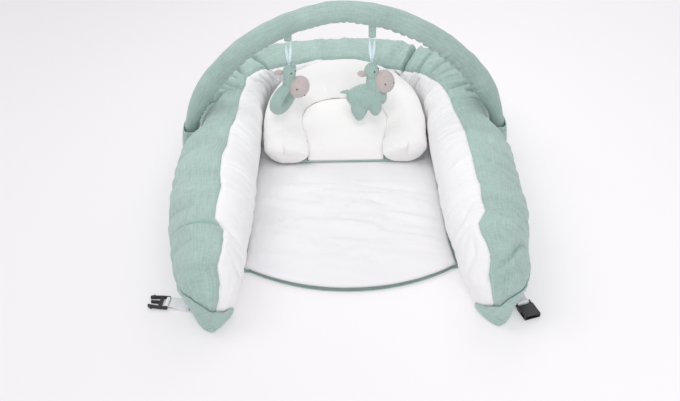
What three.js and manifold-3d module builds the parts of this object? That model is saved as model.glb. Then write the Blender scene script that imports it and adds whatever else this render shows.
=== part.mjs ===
// Infant lounger: a U-shaped stuffed bolster round a thin mat, a head pillow and an arch with two hanging toys.
// Millimetres, +Z up, +Y towards the head end, origin on the floor under the middle of the outline.
import * as THREE from "three";
import { mergeVertices } from "three/addons/utils/BufferGeometryUtils.js";
import Module from "manifold-3d";

const wasm = await Module();
wasm.setup();

// Clearances and cloth
const seatGap = 0.3;
const overrun = 40;
const coverThickness = 1.6;
const panelThickness = 2;
const sheetThickness = 1.5;

// Bolster: the path of its middle, seen from above
const footReach = 387;
const headReach = 320;
const legSpread = 229;
const legBow = { left: 9, right: 2 };
const toeIn = 5;
const cornerStart = 90;
const cornerExponent = 2.9;

// Bolster: its section along that path
const headHalfWidth = 64;
const shoulderHalfWidth = 71;
const footHalfWidth = 50;
const legSwellEnd = -140;
const crownHeight = 128;
const footDrop = 6;
const noseLength = 84;
const noseTip = 2;
const nosePlanExponent = 3;
const noseHeightExponent = 2.4;
const soleExponent = 4;
const sectionExponent = 2.2;
const bottomFlatShare = 0.07;
const seamInset = 23;
const seamHeadInset = 24;
const capHeight = 45;
const capReturn = 34;

// Mat
const matTuckShare = 0.86;
const matEdgeHeight = 9;
const matCrownHeight = 17;
const matFootMiddle = -298;
const matFootCorner = -246;
const bindingWidth = 2.4;
const bindingHeight = 5;
const panelReachShare = 0.5;
const panelFootInset = 26;
const matRingShares = [1, 0.97, 0.85, 0.6, 0.3, 0.06];
const matSteps = 22;

// Pillow, in its own plane, which rests on the mat and on the bolster's head end
const pillowFootY = 41;
const pillowTilt = 20.5;
const pillowLength = 234;
const pillowHalfWidth = 153;
const pillowSideBand = 72;
const pillowHeadBand = 94;
const pillowLegStart = 64;
const pillowThickness = 46;
const pillowFlatShare = 0.92;
const pillowEndDepth = 26;
const pillowCentreThickness = 31;
const pillowCentreEdge = 21;
const pillowExponent = 2.3;
const pillowTravelGap = 3;
const pillowLegShare = 0.16;
// Each ring of the pillow's centre: its share of the outline and of the height above the sewn edge.
const pillowCentreShares = [
  [1, 0],
  [0.92, 0.5],
  [0.7, 0.9],
  [0.1, 1],
];

// Arch
const archFootX = 296;
const archPivotHeight = 45;
const archRise = 268;
const archExponent = 1.8;
const archY = 84;
const archRadius = 19.5;
const archFootRadius = 12.5;
const archTaperLow = 88;
const archTaperHigh = 165;
const archRodRadius = 4;
const sleeveFootRise = 6;
const hemHeight = 3;
const hemSpread = 0.5;
const archCrowdShare = 0.09;

// Pockets that take the arch's feet
const pocketFloor = 28;
const pocketMouth = 82;
const pocketSideClearance = 1.2;
const pocketSwing = 11.5;
const pocketExponent = 3;
const dentDepth = 28;
const dentReach = 59;

// Toy hangers
const tabWidth = 14;
const tabThickness = 4;
const ribbonSpread = 10;
const ribbonFootSpread = 3;
const ribbonThickness = 0.8;
const ribbonNarrow = 3;
const ribbonWide = 6;
const ribbonTopGap = 0.65;
const toyTopGap = 0.7;
const ringToy = { side: "left", x: -103, tabBottom: 257, top: 209, size: 102 };
const plush = { side: "right", x: 48, tabBottom: 262, top: 211, size: 120 };
const toyRingRadius = 20.5;
const toyRingThickness = 21;
const toyRingTurn = { lean: 49, yaw: -32 };
const toyRingLiftShare = 0.9;
const eyeSize = 1.5;

// Straps and the two halves of the buckle
const strapWidth = 20;
const strapThickness = 1.6;
// The loop's tail meets the strap again after this share of half a turn.
const strapLoopShare = 0.85;
// A share of the bolster's line is solved for until it is this near.
const shareTolerance = 1e-6;
const barRadius = 2;
const barClearance = 0.4;
const buckleHeight = 5;
const armWidth = 3;
const windowLength = 8;
const maleBody = 5;
const barbShare = 0.8;
const guideShare = 0.9;
const prongLength = 17;
const prongWidth = 3;
const barbReach = 2.5;
const guideWidth = 3;
const femaleLength = 26;
const femaleHeight = 8;
const femaleWall = 1.5;
const femaleWindow = 11;
const maleBar = { x: -299, y: -322, heading: 172, strap: 41.7 };
const femaleBar = { x: 270, y: -340, heading: -72, strap: 24 };

const rings = { bolster: 42, arch: 24, pillow: 20 };

// Colours from the photograph
const mint = { color: 0x9cc4b6, roughness: 0.9 };
const white = { color: 0xf4f2f2, roughness: 0.9 };
const wadding = { color: 0xfafafa, roughness: 1 };
const blue = { color: 0xbcd6e6, roughness: 0.5 };
const mauve = { color: 0xb9a8a8, roughness: 0.9 };
const black = { color: 0x1a1a1c, roughness: 0.45 };
const rodWhite = { color: 0xe8e6e0, roughness: 0.4 };

const lounger = new THREE.Group();
const { smoothstep, degToRad, lerp } = THREE.MathUtils;
const power = (value, exponent) => Math.sign(value) * Math.abs(value) ** exponent;
const fall = (share, exponent) => Math.max(0, 1 - share ** exponent) ** (1 / exponent);
const vector = (x, y, z) => new THREE.Vector3(x, y, z);

function add(name, geometry, look) {
  const material = new THREE.MeshStandardMaterial({ ...look, metalness: 0 });
  const mesh = new THREE.Mesh(geometry, material);
  mesh.name = name;
  lounger.add(mesh);
}

// Joins rings of as many points each into one closed body, with a fan over each end or back to the first ring.
function loft(loops, endless = false) {
  const count = loops[0].length;
  const points = loops.flat();
  const faces = [];
  const spans = endless ? loops.length : loops.length - 1;
  for (let i = 0; i < spans; i++) {
    const here = i * count;
    const next = ((i + 1) % loops.length) * count;
    for (let k = 0; k < count; k++) {
      const other = (k + 1) % count;
      faces.push(here + k, next + k, next + other, here + k, next + other, here + other);
    }
  }
  const cap = (start, flip) => {
    const middle = vector(0, 0, 0);
    for (let k = 0; k < count; k++) middle.addScaledVector(points[start + k], 1 / count);
    points.push(middle);
    for (let k = 0; k < count; k++) {
      const ends = flip ? [start + ((k + 1) % count), start + k] : [start + k, start + ((k + 1) % count)];
      faces.push(points.length - 1, ...ends);
    }
  };
  if (!endless) {
    cap(0, false);
    cap((loops.length - 1) * count, true);
  }
  const geometry = new THREE.BufferGeometry().setFromPoints(points);
  let volume = 0;
  for (let i = 0; i < faces.length; i += 3) {
    const [a, b, c] = [points[faces[i]], points[faces[i + 1]], points[faces[i + 2]]];
    volume += a.dot(b.clone().cross(c));
  }
  geometry.setIndex(volume < 0 ? faces.reverse() : faces);
  return geometry;
}

function solid(geometry) {
  const bare = geometry.clone();
  bare.deleteAttribute("normal");
  bare.deleteAttribute("uv");
  const merged = mergeVertices(bare);
  const vertProperties = new Float32Array(merged.attributes.position.array);
  const triVerts = new Uint32Array(merged.index.array);
  return new wasm.Manifold(new wasm.Mesh({ numProp: 3, vertProperties, triVerts }));
}

function toGeometry(body) {
  const mesh = body.getMesh();
  const geometry = new THREE.BufferGeometry();
  geometry.setAttribute("position", new THREE.BufferAttribute(mesh.vertProperties, 3));
  geometry.setIndex(new THREE.BufferAttribute(mesh.triVerts, 1));
  return geometry;
}

const without = (geometry, ...tools) =>
  toGeometry(tools.reduce((body, tool) => body.subtract(solid(tool)), solid(geometry)));

function prism(outline, low, high) {
  const geometry = new THREE.ExtrudeGeometry(new THREE.Shape(outline), {
    depth: high - low,
    bevelEnabled: false,
    curveSegments: 1,
  });
  return geometry.translate(0, 0, low);
}

function box(low, high) {
  const size = high.clone().sub(low);
  const middle = low.clone().add(high).multiplyScalar(1 / 2);
  return new THREE.BoxGeometry(size.x, size.y, size.z).translate(middle.x, middle.y, middle.z);
}

// The bolster's middle line, from the left foot round the head end to the right foot.
const bolsterPath = (() => {
  const steps = 24;
  const halfLine = (sign, mostBow) => {
    const half = [];
    for (let i = 0; i <= steps; i++) {
      const share = i / steps;
      const y = lerp(-footReach, cornerStart, share);
      const bow = mostBow * Math.sin(Math.PI * (1 - share)) - toeIn * (1 - share) ** 2;
      half.push(vector(sign * (legSpread + bow), y, 0));
    }
    for (let i = 1; i <= steps; i++) {
      const angle = (Math.PI / 2) * (i / steps);
      const x = sign * legSpread * Math.cos(angle) ** (2 / cornerExponent);
      const y = cornerStart + (headReach - cornerStart) * Math.sin(angle) ** (2 / cornerExponent);
      half.push(vector(i === steps ? 0 : x, y, 0));
    }
    return half;
  };
  const right = halfLine(1, legBow.right).reverse();
  const path = new THREE.CatmullRomCurve3([...halfLine(-1, legBow.left), ...right.slice(1)]);
  path.arcLengthDivisions = 800;
  return path;
})();

const bolsterBase = panelThickness + seatGap;
const halfHeight = (crownHeight - bolsterBase) / (2 - bottomFlatShare);
const noseStart = -footReach + noseLength;

// Where the bolster is at a share of its path: its middle, the outward direction and its half sizes there.
function bolsterAt(share, inset = 0) {
  const middle = bolsterPath.getPointAt(share);
  const along = bolsterPath.getTangentAt(share);
  const outward = vector(-along.y, along.x, 0).normalize();
  const swell = smoothstep(middle.y, -footReach, legSwellEnd);
  const headward = smoothstep(middle.y, cornerStart, headReach);
  const plain =
    footHalfWidth +
    (shoulderHalfWidth - footHalfWidth) * swell -
    (shoulderHalfWidth - headHalfWidth) * headward;
  const end = Math.min(1, Math.max(0, (noseStart - middle.y) / (noseLength - inset)));
  const narrow = fall(end, nosePlanExponent);
  const lower = fall(end, noseHeightExponent);
  const dent = dentDepth * Math.exp(-(((middle.y - archY) / dentReach) ** 4));
  const drop = (footDrop / 2) * (1 - swell);
  return {
    middle,
    outward,
    inner: Math.max(noseTip, plain * narrow - inset),
    outer: Math.max(noseTip, (plain - dent) * narrow - inset),
    height: Math.max(noseTip, (halfHeight - drop) * lower - inset),
    base: bolsterBase + inset,
    sole: lerp(sectionExponent, soleExponent, smoothstep(end, 1 / 2, 1)),
  };
}

function bolsterRing(share, inset) {
  const sides = 12;
  const at = bolsterAt(share, inset);
  const ring = [];
  for (let k = 0; k < sides; k++) {
    const angle = (2 * Math.PI * (k + 1 / 2)) / sides;
    const exponent = Math.sin(angle) < 0 ? at.sole : sectionExponent;
    const across = power(Math.cos(angle), 2 / exponent);
    const lift = power(Math.sin(angle), 2 / exponent);
    const side = across * (across > 0 ? at.outer : at.inner);
    const point = at.middle.clone().addScaledVector(at.outward, side);
    point.z = Math.max(at.base, at.base + at.height * (1 - bottomFlatShare + lift));
    ring.push(point);
  }
  return ring;
}

// Shares of the path for the rings, closer together where the feet round off.
function bolsterShares(inset) {
  const total = bolsterPath.getLength();
  const nose = noseLength / total;
  const noseSteps = 7;
  const middleSteps = rings.bolster - 2 * noseSteps;
  const list = [];
  for (let i = 0; i < noseSteps; i++) {
    const share = nose * (1 - Math.cos((Math.PI / 2) * (i / noseSteps)));
    list.push(Math.max(share, (2 * inset + noseTip / 2) / total));
  }
  for (let i = 0; i <= middleSteps; i++) list.push(lerp(nose, 1 - nose, i / middleSteps));
  return [...list, ...list.slice(0, noseSteps).map((s) => 1 - s).reverse()];
}

function bolsterBody(inset) {
  return loft(bolsterShares(inset).map((share) => bolsterRing(share, inset)));
}

// The plan line that runs a given distance inward of the bolster's middle.
function planLine(inwardAt, from = 0, to = 1, steps = 44) {
  const line = [];
  for (let i = 0; i <= steps; i++) {
    const share = lerp(from, to, i / steps);
    const at = bolsterAt(share);
    line.push(at.middle.clone().addScaledVector(at.outward, -inwardAt(at, share)));
  }
  return line;
}

const flat = (points) => points.map((p) => new THREE.Vector2(p.x, p.y));

function seamRegion(extra) {
  const line = planLine((at) => {
    const headward = smoothstep(at.middle.y, cornerStart, headReach);
    return seamInset + seamHeadInset * headward + extra;
  });
  const first = line[0].clone().setY(-footReach - overrun);
  const last = line[line.length - 1].clone().setY(-footReach - overrun);
  return prism(flat([first, ...line, last]), -overrun, crownHeight + overrun);
}

// The space in front of a slanting line, where the end caps fold under the feet.
function capRegion(shift) {
  const reach = footReach + overrun;
  const slope = capReturn / capHeight;
  const lineY = (z) => -footReach + capReturn - slope * z + shift;
  const profile = [
    new THREE.Vector2(lineY(-overrun), -overrun),
    new THREE.Vector2(lineY(capHeight + overrun), capHeight + overrun),
    new THREE.Vector2(-reach - overrun, capHeight + overrun),
    new THREE.Vector2(-reach - overrun, -overrun),
  ];
  const geometry = prism(profile, -reach, reach);
  // The profile's first axis becomes Y, its second becomes Z and the depth becomes X.
  const turn = new THREE.Matrix4().makeBasis(vector(0, 1, 0), vector(0, 0, 1), vector(1, 0, 0));
  return geometry.applyMatrix4(turn);
}

function buildBolster() {
  const skin = solid(bolsterBody(0)).subtract(solid(bolsterBody(coverThickness)));
  const capsOnly = skin.intersect(solid(capRegion(0)));
  const rest = skin.subtract(solid(capRegion(seatGap)));
  const inner = rest.intersect(solid(seamRegion(seatGap)));
  const outer = rest.subtract(solid(seamRegion(0)));
  add("bolster_filling", bolsterBody(coverThickness + 2 * seatGap), wadding);
  add("bolster_inner_cover", toGeometry(inner), white);
  add("bolster_outer_cover", toGeometry(outer), mint);
  capsOnly
    .decompose()
    .sort((a, b) => a.boundingBox().min[0] - b.boundingBox().min[0])
    .forEach((cap, i) => add(["bolster_end_left", "bolster_end_right"][i], toGeometry(cap), mint));
}

// The path share at which the left leg reaches a place along Y.
function shareAtY(y) {
  let low = 0;
  let high = 1 / 2;
  while (high - low > shareTolerance) {
    const middle = (low + high) / 2;
    if (bolsterPath.getPointAt(middle).y < y) low = middle;
    else high = middle;
  }
  return low;
}

function footArc(middleY, corner, steps = 10) {
  const sag = corner.y - middleY;
  const half = Math.abs(corner.x);
  const radius = (half * half + sag * sag) / (2 * sag);
  const sweep = Math.asin(half / radius);
  const arc = [];
  for (let i = 1; i < steps; i++) {
    const angle = sweep * (1 - (2 * i) / steps);
    arc.push(vector(radius * Math.sin(angle), middleY + radius * (1 - Math.cos(angle)), 0));
  }
  return arc;
}

function matOutline(inset) {
  const from = shareAtY(matFootCorner + inset);
  const line = planLine((at) => at.inner * matTuckShare + inset, from, 1 - from, matSteps);
  return [...line, ...footArc(matFootMiddle + inset, line[line.length - 1])];
}

const matBase = panelThickness + seatGap;

function matHeight(share, inset) {
  return matBase + lerp(matEdgeHeight, matCrownHeight, 1 - share ** 3) - inset;
}

function matRings(inset, low) {
  const outline = matOutline(inset);
  const centre = vector(0, 0, 0);
  for (const p of outline) centre.addScaledVector(p, 1 / outline.length);
  const shrink = (share, z) => outline.map((p) => centre.clone().lerp(p, share).setZ(z));
  return [shrink(1, low), ...matRingShares.map((share) => shrink(share, matHeight(share, inset)))];
}

function buildMat() {
  const skin = coverThickness + seatGap;
  const filling = matRings(skin, matBase);
  add("mat_wadding", loft(filling), wadding);
  const outside = matRings(0, matBase);
  const inside = matRings(coverThickness, matBase).reverse();
  add("mat_cover", loft([...inside, ...outside]), white);
  const corner = matOutline(0)[matSteps];
  const edge = [];
  const arcFor = (grow) => footArc(matFootMiddle - grow, corner.clone().setY(corner.y - grow));
  const near = arcFor(seatGap);
  const far = arcFor(seatGap + bindingWidth);
  near.forEach((p, i) => {
    const q = far[i];
    edge.push([
      vector(p.x, p.y, matBase),
      vector(q.x, q.y, matBase),
      vector(q.x, q.y, matBase + bindingHeight),
      vector(p.x, p.y, matBase + bindingHeight),
    ]);
  });
  add("mat_edge_binding", loft(edge), mint);
}

function buildBasePanel() {
  const foot = shareAtY(-footReach + panelFootInset);
  const corner = shareAtY(matFootCorner);
  const reach = (at) => at.inner * panelReachShare;
  const outerEdge = planLine((at) => -Math.min(at.inner, at.outer) * panelReachShare, foot, 1 - foot, 56);
  const rightInner = planLine(reach, 1 - foot, 1 - corner, 8);
  const leftInner = planLine(reach, corner, foot, 8);
  const arc = footArc(matFootMiddle - bindingWidth - seatGap, matOutline(0)[matSteps]);
  const outline = flat([...outerEdge, ...rightInner, ...arc, ...leftInner]);
  add("base_panel", prism(outline, 0, panelThickness), mint);
}

// Pillow: u runs across, v up the slope from the foot edge and w out of its plane.
const pillowFootZ = matBase + matCrownHeight + seatGap;
const tilt = degToRad(pillowTilt);
function fromPillow(u, v, w) {
  const y = pillowFootY + v * Math.cos(tilt) - w * Math.sin(tilt);
  return vector(u, y, pillowFootZ + v * Math.sin(tilt) + w * Math.cos(tilt));
}

// The horseshoe's middle line in the pillow's plane, with the band's half width there.
function pillowBand(share) {
  const span = pillowHalfWidth - pillowSideBand / 2;
  const rise = pillowLength - pillowHeadBand / 2 - pillowLegStart;
  const side = share < 1 / 2 ? -1 : 1;
  const along = share < 1 / 2 ? share : 1 - share;
  const half = lerp(pillowSideBand, pillowHeadBand, smoothstep(along, pillowLegShare, 1 / 2)) / 2;
  if (along < pillowLegShare) {
    return { u: side * span, v: lerp(pillowEndDepth, pillowLegStart, along / pillowLegShare), half };
  }
  const angle = ((Math.PI / 2) * (along - pillowLegShare)) / (1 / 2 - pillowLegShare);
  const u = side * span * Math.max(0, Math.cos(angle)) ** (2 / pillowExponent);
  return { u, v: pillowLegStart + rise * Math.sin(angle) ** (2 / pillowExponent), half };
}

function pillowFrame(share) {
  const nearby = 1 / 500;
  const at = pillowBand(share);
  const before = pillowBand(Math.max(0, share - nearby));
  const after = pillowBand(Math.min(1, share + nearby));
  const along = new THREE.Vector2(after.u - before.u, after.v - before.v).normalize();
  return { ...at, along, outward: new THREE.Vector2(-along.y, along.x) };
}

function buildPillow() {
  const sides = 12;
  const lift = sheetThickness + seatGap;
  const ringAt = (share, round, back) => {
    const at = pillowFrame(share);
    const ring = [];
    for (let k = 0; k < sides; k++) {
      const angle = (2 * Math.PI * (k + 1 / 2)) / sides;
      const across = at.half * round * Math.cos(angle);
      const rise = (pillowThickness / 2) * (pillowFlatShare + round * Math.sin(angle));
      const v = at.v - back + at.outward.y * across;
      ring.push(fromPillow(at.u + at.outward.x * across, v, lift + Math.max(0, rise)));
    }
    return ring;
  };
  const capSteps = 3;
  const capRings = (share) => {
    const list = [];
    for (let i = 0; i < capSteps; i++) {
      const angle = (Math.PI / 2) * ((i + 1 / 2) / capSteps);
      list.push(ringAt(share, Math.sin(angle), pillowEndDepth * Math.cos(angle)));
    }
    return list;
  };
  const loops = capRings(0);
  for (let i = 0; i <= rings.pillow; i++) loops.push(ringAt(i / rings.pillow, 1, 0));
  loops.push(...capRings(1).reverse());
  add("pillow_ring", loft(loops), white);

  const inward = [];
  const outline = [];
  const steps = 30;
  for (let i = 0; i <= steps; i++) {
    const at = pillowFrame(i / steps);
    const inset = at.half + seatGap;
    inward.push([at.u - at.outward.x * inset, Math.max(sheetThickness, at.v - at.outward.y * inset)]);
    const reach = at.half - pillowTravelGap;
    outline.push(new THREE.Vector2(at.u + at.outward.x * reach, Math.max(0, at.v + at.outward.y * reach)));
  }
  inward[0][1] = sheetThickness;
  inward[steps][1] = sheetThickness;
  const middleV = pillowLength / 4;
  const centreRing = (share, height) =>
    inward.map(([u, v]) => fromPillow(share * u, lerp(middleV, v, share), lift + height));
  const underside = [...pillowCentreShares].reverse().map(([share]) => centreRing(share, 0));
  const topside = pillowCentreShares.map(([share, rise]) =>
    centreRing(share, lerp(pillowCentreEdge, pillowCentreThickness, rise)),
  );
  add("pillow_centre", loft([...underside, ...topside]), white);

  // The sheet rounds off under the ends of the legs and is straight along the foot edge between them.
  for (const index of [0, steps]) {
    const at = pillowFrame(index / steps);
    const reach = at.half - pillowTravelGap;
    const sign = Math.sign(at.u);
    const arc = [];
    for (let i = 1; i <= capSteps; i++) {
      const angle = (Math.PI / 2) * (i / capSteps);
      const u = at.u + sign * reach * Math.cos(angle);
      arc.push(new THREE.Vector2(u, pillowEndDepth - (pillowEndDepth - pillowTravelGap) * Math.sin(angle)));
    }
    arc.push(new THREE.Vector2(at.u - (sign * reach) / 2, 0));
    if (index) outline.push(...arc);
    else outline.unshift(...arc.reverse());
  }
  const sheet = prism(outline, 0, sheetThickness);
  const place = new THREE.Matrix4().makeBasis(
    vector(1, 0, 0),
    vector(0, Math.cos(tilt), Math.sin(tilt)),
    vector(0, -Math.sin(tilt), Math.cos(tilt)),
  );
  place.setPosition(0, pillowFootY, pillowFootZ);
  add("pillow_back", sheet.applyMatrix4(place), mint);
}

// Arch: straight feet in the pockets, then a superellipse over the head end.
const archFootZ = pocketFloor + sheetThickness + 2 * seatGap;
const archPath = (() => {
  const steps = 40;
  const points = [vector(-archFootX, archY, archFootZ)];
  for (let i = 0; i <= steps; i++) {
    const angle = (Math.PI * i) / steps;
    const x = -archFootX * power(Math.cos(angle), 2 / archExponent);
    const rise = i % steps ? Math.sin(angle) ** (2 / archExponent) : 0;
    points.push(vector(x, archY, archPivotHeight + archRise * rise));
  }
  points.push(vector(archFootX, archY, archFootZ));
  const path = new THREE.CatmullRomCurve3(points, false, "centripetal");
  path.arcLengthDivisions = 400;
  return path;
})();

const archRadiusAt = (z) => lerp(archFootRadius, archRadius, smoothstep(z, archTaperLow, archTaperHigh));

function archRing(share, radiusAt, sides, hem = 0) {
  const middle = archPath.getPointAt(share);
  const along = archPath.getTangentAt(share);
  const inward = vector(along.z, 0, -along.x).normalize();
  const rise = smoothstep(middle.z, archTaperLow, archTaperHigh);
  const ring = [];
  for (let k = 0; k < sides; k++) {
    const angle = (2 * Math.PI * k) / sides;
    const near = Math.min(angle, 2 * Math.PI - angle) / hemSpread;
    const radius = radiusAt(middle.z) + hem * rise * Math.exp(-(near ** 2));
    const point = middle.clone().addScaledVector(inward, radius * Math.cos(angle));
    point.y += radius * Math.sin(angle);
    ring.push(point);
  }
  return ring;
}

// Rings of a tube along the arch, closer together in the feet, where it tapers.
function archTube(radiusAt, sides, start, hem = 0) {
  const loops = [];
  for (let i = 0; i <= rings.arch; i++) {
    const even = i / rings.arch;
    const eased = even - archCrowdShare * Math.sin(2 * Math.PI * even);
    loops.push(archRing(lerp(start, 1 - start, eased), radiusAt, sides, hem));
  }
  return loops;
}

function buildArch() {
  const start = sleeveFootRise / archPath.getLength();
  const sides = 12;
  add("arch_rod", loft(archTube(() => archRodRadius, 6, 0)), rodWhite);
  const sleeveInner = (z) => archRadiusAt(z) - sheetThickness;
  const outside = archTube(archRadiusAt, sides, start, hemHeight);
  const inside = archTube(sleeveInner, sides, start).reverse();
  add("arch_sleeve", loft([...outside, ...inside], true), mint);
  const foam = archTube((z) => sleeveInner(z) - 4 * seatGap, 8, 2 * start);
  const bore = archTube(() => archRodRadius + 4 * seatGap, 8, 2 * start).reverse();
  add("arch_padding", loft([...foam, ...bore], true), wadding);
  return loft(archTube((z) => archRadiusAt(z) + seatGap, sides, start, hemHeight));
}

// The arch's middle leans inwards as it rises, and its pockets lean with it.
const archXAt = (z) => archFootX * fall(Math.max(0, z - archPivotHeight) / archRise, archExponent);
const archZAt = (x) => archPivotHeight + archRise * fall(Math.abs(x) / archFootX, archExponent);

function buildPockets() {
  const halfX = archFootRadius + pocketSideClearance;
  const halfY = archFootRadius + pocketSwing;
  const sides = 20;
  for (const [side, sign] of [
    ["left", -1],
    ["right", 1],
  ]) {
    const ring = (wall, z) => {
      const points = [];
      for (let k = 0; k < sides; k++) {
        const angle = (2 * Math.PI * k) / sides;
        const across = (halfX + wall) * power(Math.cos(angle), 2 / pocketExponent);
        const along = (halfY + wall) * power(Math.sin(angle), 2 / pocketExponent);
        points.push(vector(sign * archXAt(z) + across, archY + along, z));
      }
      return points;
    };
    const waist = (pocketFloor + pocketMouth) / 2;
    const inside = [pocketFloor + sheetThickness, waist, pocketMouth].map((z) => ring(0, z));
    const outside = [pocketMouth, waist, pocketFloor].map((z) => ring(sheetThickness, z));
    add("arch_pocket_" + side, loft([...inside, ...outside]), mint);
  }
}

function buildHangers(archSolid) {
  for (const toy of [ringToy, plush]) {
    const low = vector(toy.x - tabWidth / 2, archY - tabThickness / 2, toy.tabBottom);
    const high = vector(toy.x + tabWidth / 2, archY + tabThickness / 2, archZAt(toy.x));
    add("toy_tab_" + toy.side, without(box(low, high), archSolid), mint);
    const top = toy.tabBottom - ribbonTopGap - ribbonThickness / 2;
    const bottom = toy.top + ribbonThickness / 2;
    const half = ribbonSpread / 2;
    const foot = ribbonFootSpread / 2;
    const turn = ribbonFootSpread / 2;
    const middleHalf = (half + foot) / 2;
    const right = [
      [half - turn, top, ribbonNarrow],
      [half, top - turn, ribbonNarrow],
      [middleHalf, (top + bottom) / 2, ribbonWide],
      [foot, bottom + turn, ribbonNarrow],
      [foot / 2, bottom, ribbonNarrow],
    ];
    const left = right.map(([x, z, width]) => [-x, z, width]).reverse();
    const stops = [...right, ...left];
    const loops = stops.map(([x, z, width], i) => {
      const [px, pz] = stops[(i + stops.length - 1) % stops.length];
      const [nx, nz] = stops[(i + 1) % stops.length];
      const normal = vector(nz - pz, 0, px - nx).normalize().multiplyScalar(ribbonThickness / 2);
      const corner = (side, out) =>
        vector(toy.x + x + normal.x * out, archY + (side * width) / 2, z + normal.z * out);
      return [corner(-1, 1), corner(1, 1), corner(1, -1), corner(-1, -1)];
    });
    add("toy_ribbon_" + toy.side, loft(loops, true), blue);
  }
}

// A swelling, tapering blob: a ball stretched to half sizes, narrowed towards its low end and turned.
function blob({ at, half, turn = [0, 0, 0], taper = 0, fine = 10 }, toy, grow = 0) {
  const ball = new THREE.SphereGeometry(1, fine, Math.round((fine * 2) / 3)).rotateX(Math.PI / 2);
  const points = ball.attributes.position;
  for (let i = 0; i < points.count; i++) {
    const narrow = 1 + taper * points.getZ(i);
    points.setXYZ(i, points.getX(i) * narrow, points.getY(i) * narrow, points.getZ(i));
  }
  const [x, y, z] = half.map((share) => share * toy.size + grow);
  ball.scale(x, y, z);
  ball.applyMatrix4(new THREE.Matrix4().makeRotationFromEuler(new THREE.Euler(...turn.map(degToRad))));
  const middle = vector(...at).multiplyScalar(toy.size);
  return ball.translate(toy.x + middle.x, archY + middle.y, toy.top - toyTopGap + middle.z);
}

function buildToy(prefix, toy, pieces) {
  const before = [];
  for (const { name, look, ...spec } of pieces) {
    const cut = before.length ? without(blob(spec, toy), ...before) : blob(spec, toy);
    add(prefix + name, cut, look);
    before.push(blob(spec, toy, seatGap));
  }
  return before;
}

// Places and half sizes as shares of each toy's height, from its top; each piece is cut by those before it.
const ringToyShares = [
  { name: "head", look: mint, at: [0, 0, -0.155], half: [0.125, 0.12, 0.155] },
  { name: "neck", look: mint, at: [-0.01, 0, -0.35], half: [0.115, 0.105, 0.2], turn: [0, 12, 0] },
  { name: "muzzle", look: mauve, at: [0.17, -0.03, -0.43], half: [0.19, 0.15, 0.225], turn: [0, 24, 0], fine: 12 },
  { name: "ear_left", look: mauve, at: [-0.19, 0.01, -0.155], half: [0.085, 0.03, 0.06], turn: [0, -12, 0], fine: 8 },
  { name: "ear_right", look: mint, at: [0.07, 0.14, -0.12], half: [0.06, 0.06, 0.05], fine: 8 },
  { name: "tuft", look: mint, at: [0.075, 0, -0.005], half: [0.028, 0.028, 0.06], turn: [0, 20, 0], fine: 8 },
];
const plushShares = [
  { name: "body", look: mint, at: [-0.08, 0.01, -0.585], half: [0.31, 0.17, 0.2], turn: [0, -6, 0], fine: 12 },
  { name: "head", look: mint, at: [0, 0, -0.14], half: [0.115, 0.11, 0.14] },
  { name: "neck", look: mint, at: [0.045, 0, -0.35], half: [0.13, 0.12, 0.2], taper: -0.15, turn: [0, -12, 0] },
  { name: "muzzle", look: mauve, at: [0.2, -0.04, -0.3], half: [0.16, 0.13, 0.2], turn: [0, -10, 0], fine: 12 },
  { name: "leg_hind_left", look: mint, at: [-0.18, -0.04, -0.82], half: [0.13, 0.11, 0.19], taper: 0.4 },
  { name: "leg_hind_right", look: mint, at: [-0.13, 0.12, -0.76], half: [0.1, 0.09, 0.17], taper: 0.3 },
  { name: "leg_front_left", look: mint, at: [0.07, -0.05, -0.76], half: [0.1, 0.09, 0.15], taper: 0.1 },
  { name: "leg_front_right", look: mint, at: [0.18, 0.08, -0.65], half: [0.08, 0.08, 0.13], taper: 0.1 },
  { name: "tail", look: mint, at: [-0.415, 0.02, -0.51], half: [0.03, 0.03, 0.085], turn: [0, 80, 0], taper: 0.4, fine: 8 },
  { name: "ear_left", look: mauve, at: [-0.14, -0.02, -0.175], half: [0.08, 0.03, 0.055], turn: [0, 8, 0], fine: 8 },
  { name: "ear_right", look: mint, at: [0.03, 0.13, -0.1], half: [0.05, 0.06, 0.05], fine: 8 },
  { name: "horn_left", look: mint, at: [0.055, -0.03, 0.01], half: [0.018, 0.018, 0.06], turn: [0, 14, 0], fine: 8 },
  { name: "horn_right", look: mint, at: [0.1, 0.04, 0.02], half: [0.018, 0.018, 0.07], turn: [0, 24, 0], fine: 8 },
];
const ringToyEyeShares = [
  { name: "eye_left", on: "head", towards: [0.35, -1, 0.3] },
  { name: "eye_right", on: "head", towards: [0.95, -0.25, 0.35] },
  { name: "nostril_left", on: "muzzle", towards: [-0.25, -1, 0.05] },
  { name: "nostril_right", on: "muzzle", towards: [0.75, -0.6, -0.35] },
];
const plushEyeShares = [
  { name: "eye_left", on: "head", towards: [0.4, -1, 0.3] },
  { name: "eye_right", on: "head", towards: [0.95, -0.2, 0.4] },
  { name: "nostril_left", on: "muzzle", towards: [0.05, -1, 0.1] },
  { name: "nostril_right", on: "muzzle", towards: [0.85, -0.5, -0.1] },
];

function buildEyes(prefix, toy, pieces, eyes, larger) {
  for (const { name, on, towards } of eyes) {
    const spec = pieces.find((piece) => piece.name === on);
    const [x, y, z] = towards;
    const reach = Math.hypot(x, y, z);
    const half = spec.half.map((share) => share * toy.size);
    const middle = vector(...spec.at).multiplyScalar(toy.size);
    const turn = new THREE.Euler(...(spec.turn ?? [0, 0, 0]).map(degToRad));
    const onBall = vector((x / reach) * half[0], (y / reach) * half[1], (z / reach) * half[2]);
    const place = middle.add(onBall.applyEuler(turn));
    const bead = new THREE.SphereGeometry(eyeSize, 6, 5);
    bead.translate(toy.x + place.x, archY + place.y, toy.top - toyTopGap + place.z);
    add(prefix + name, without(bead, ...larger), black);
  }
}

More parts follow.
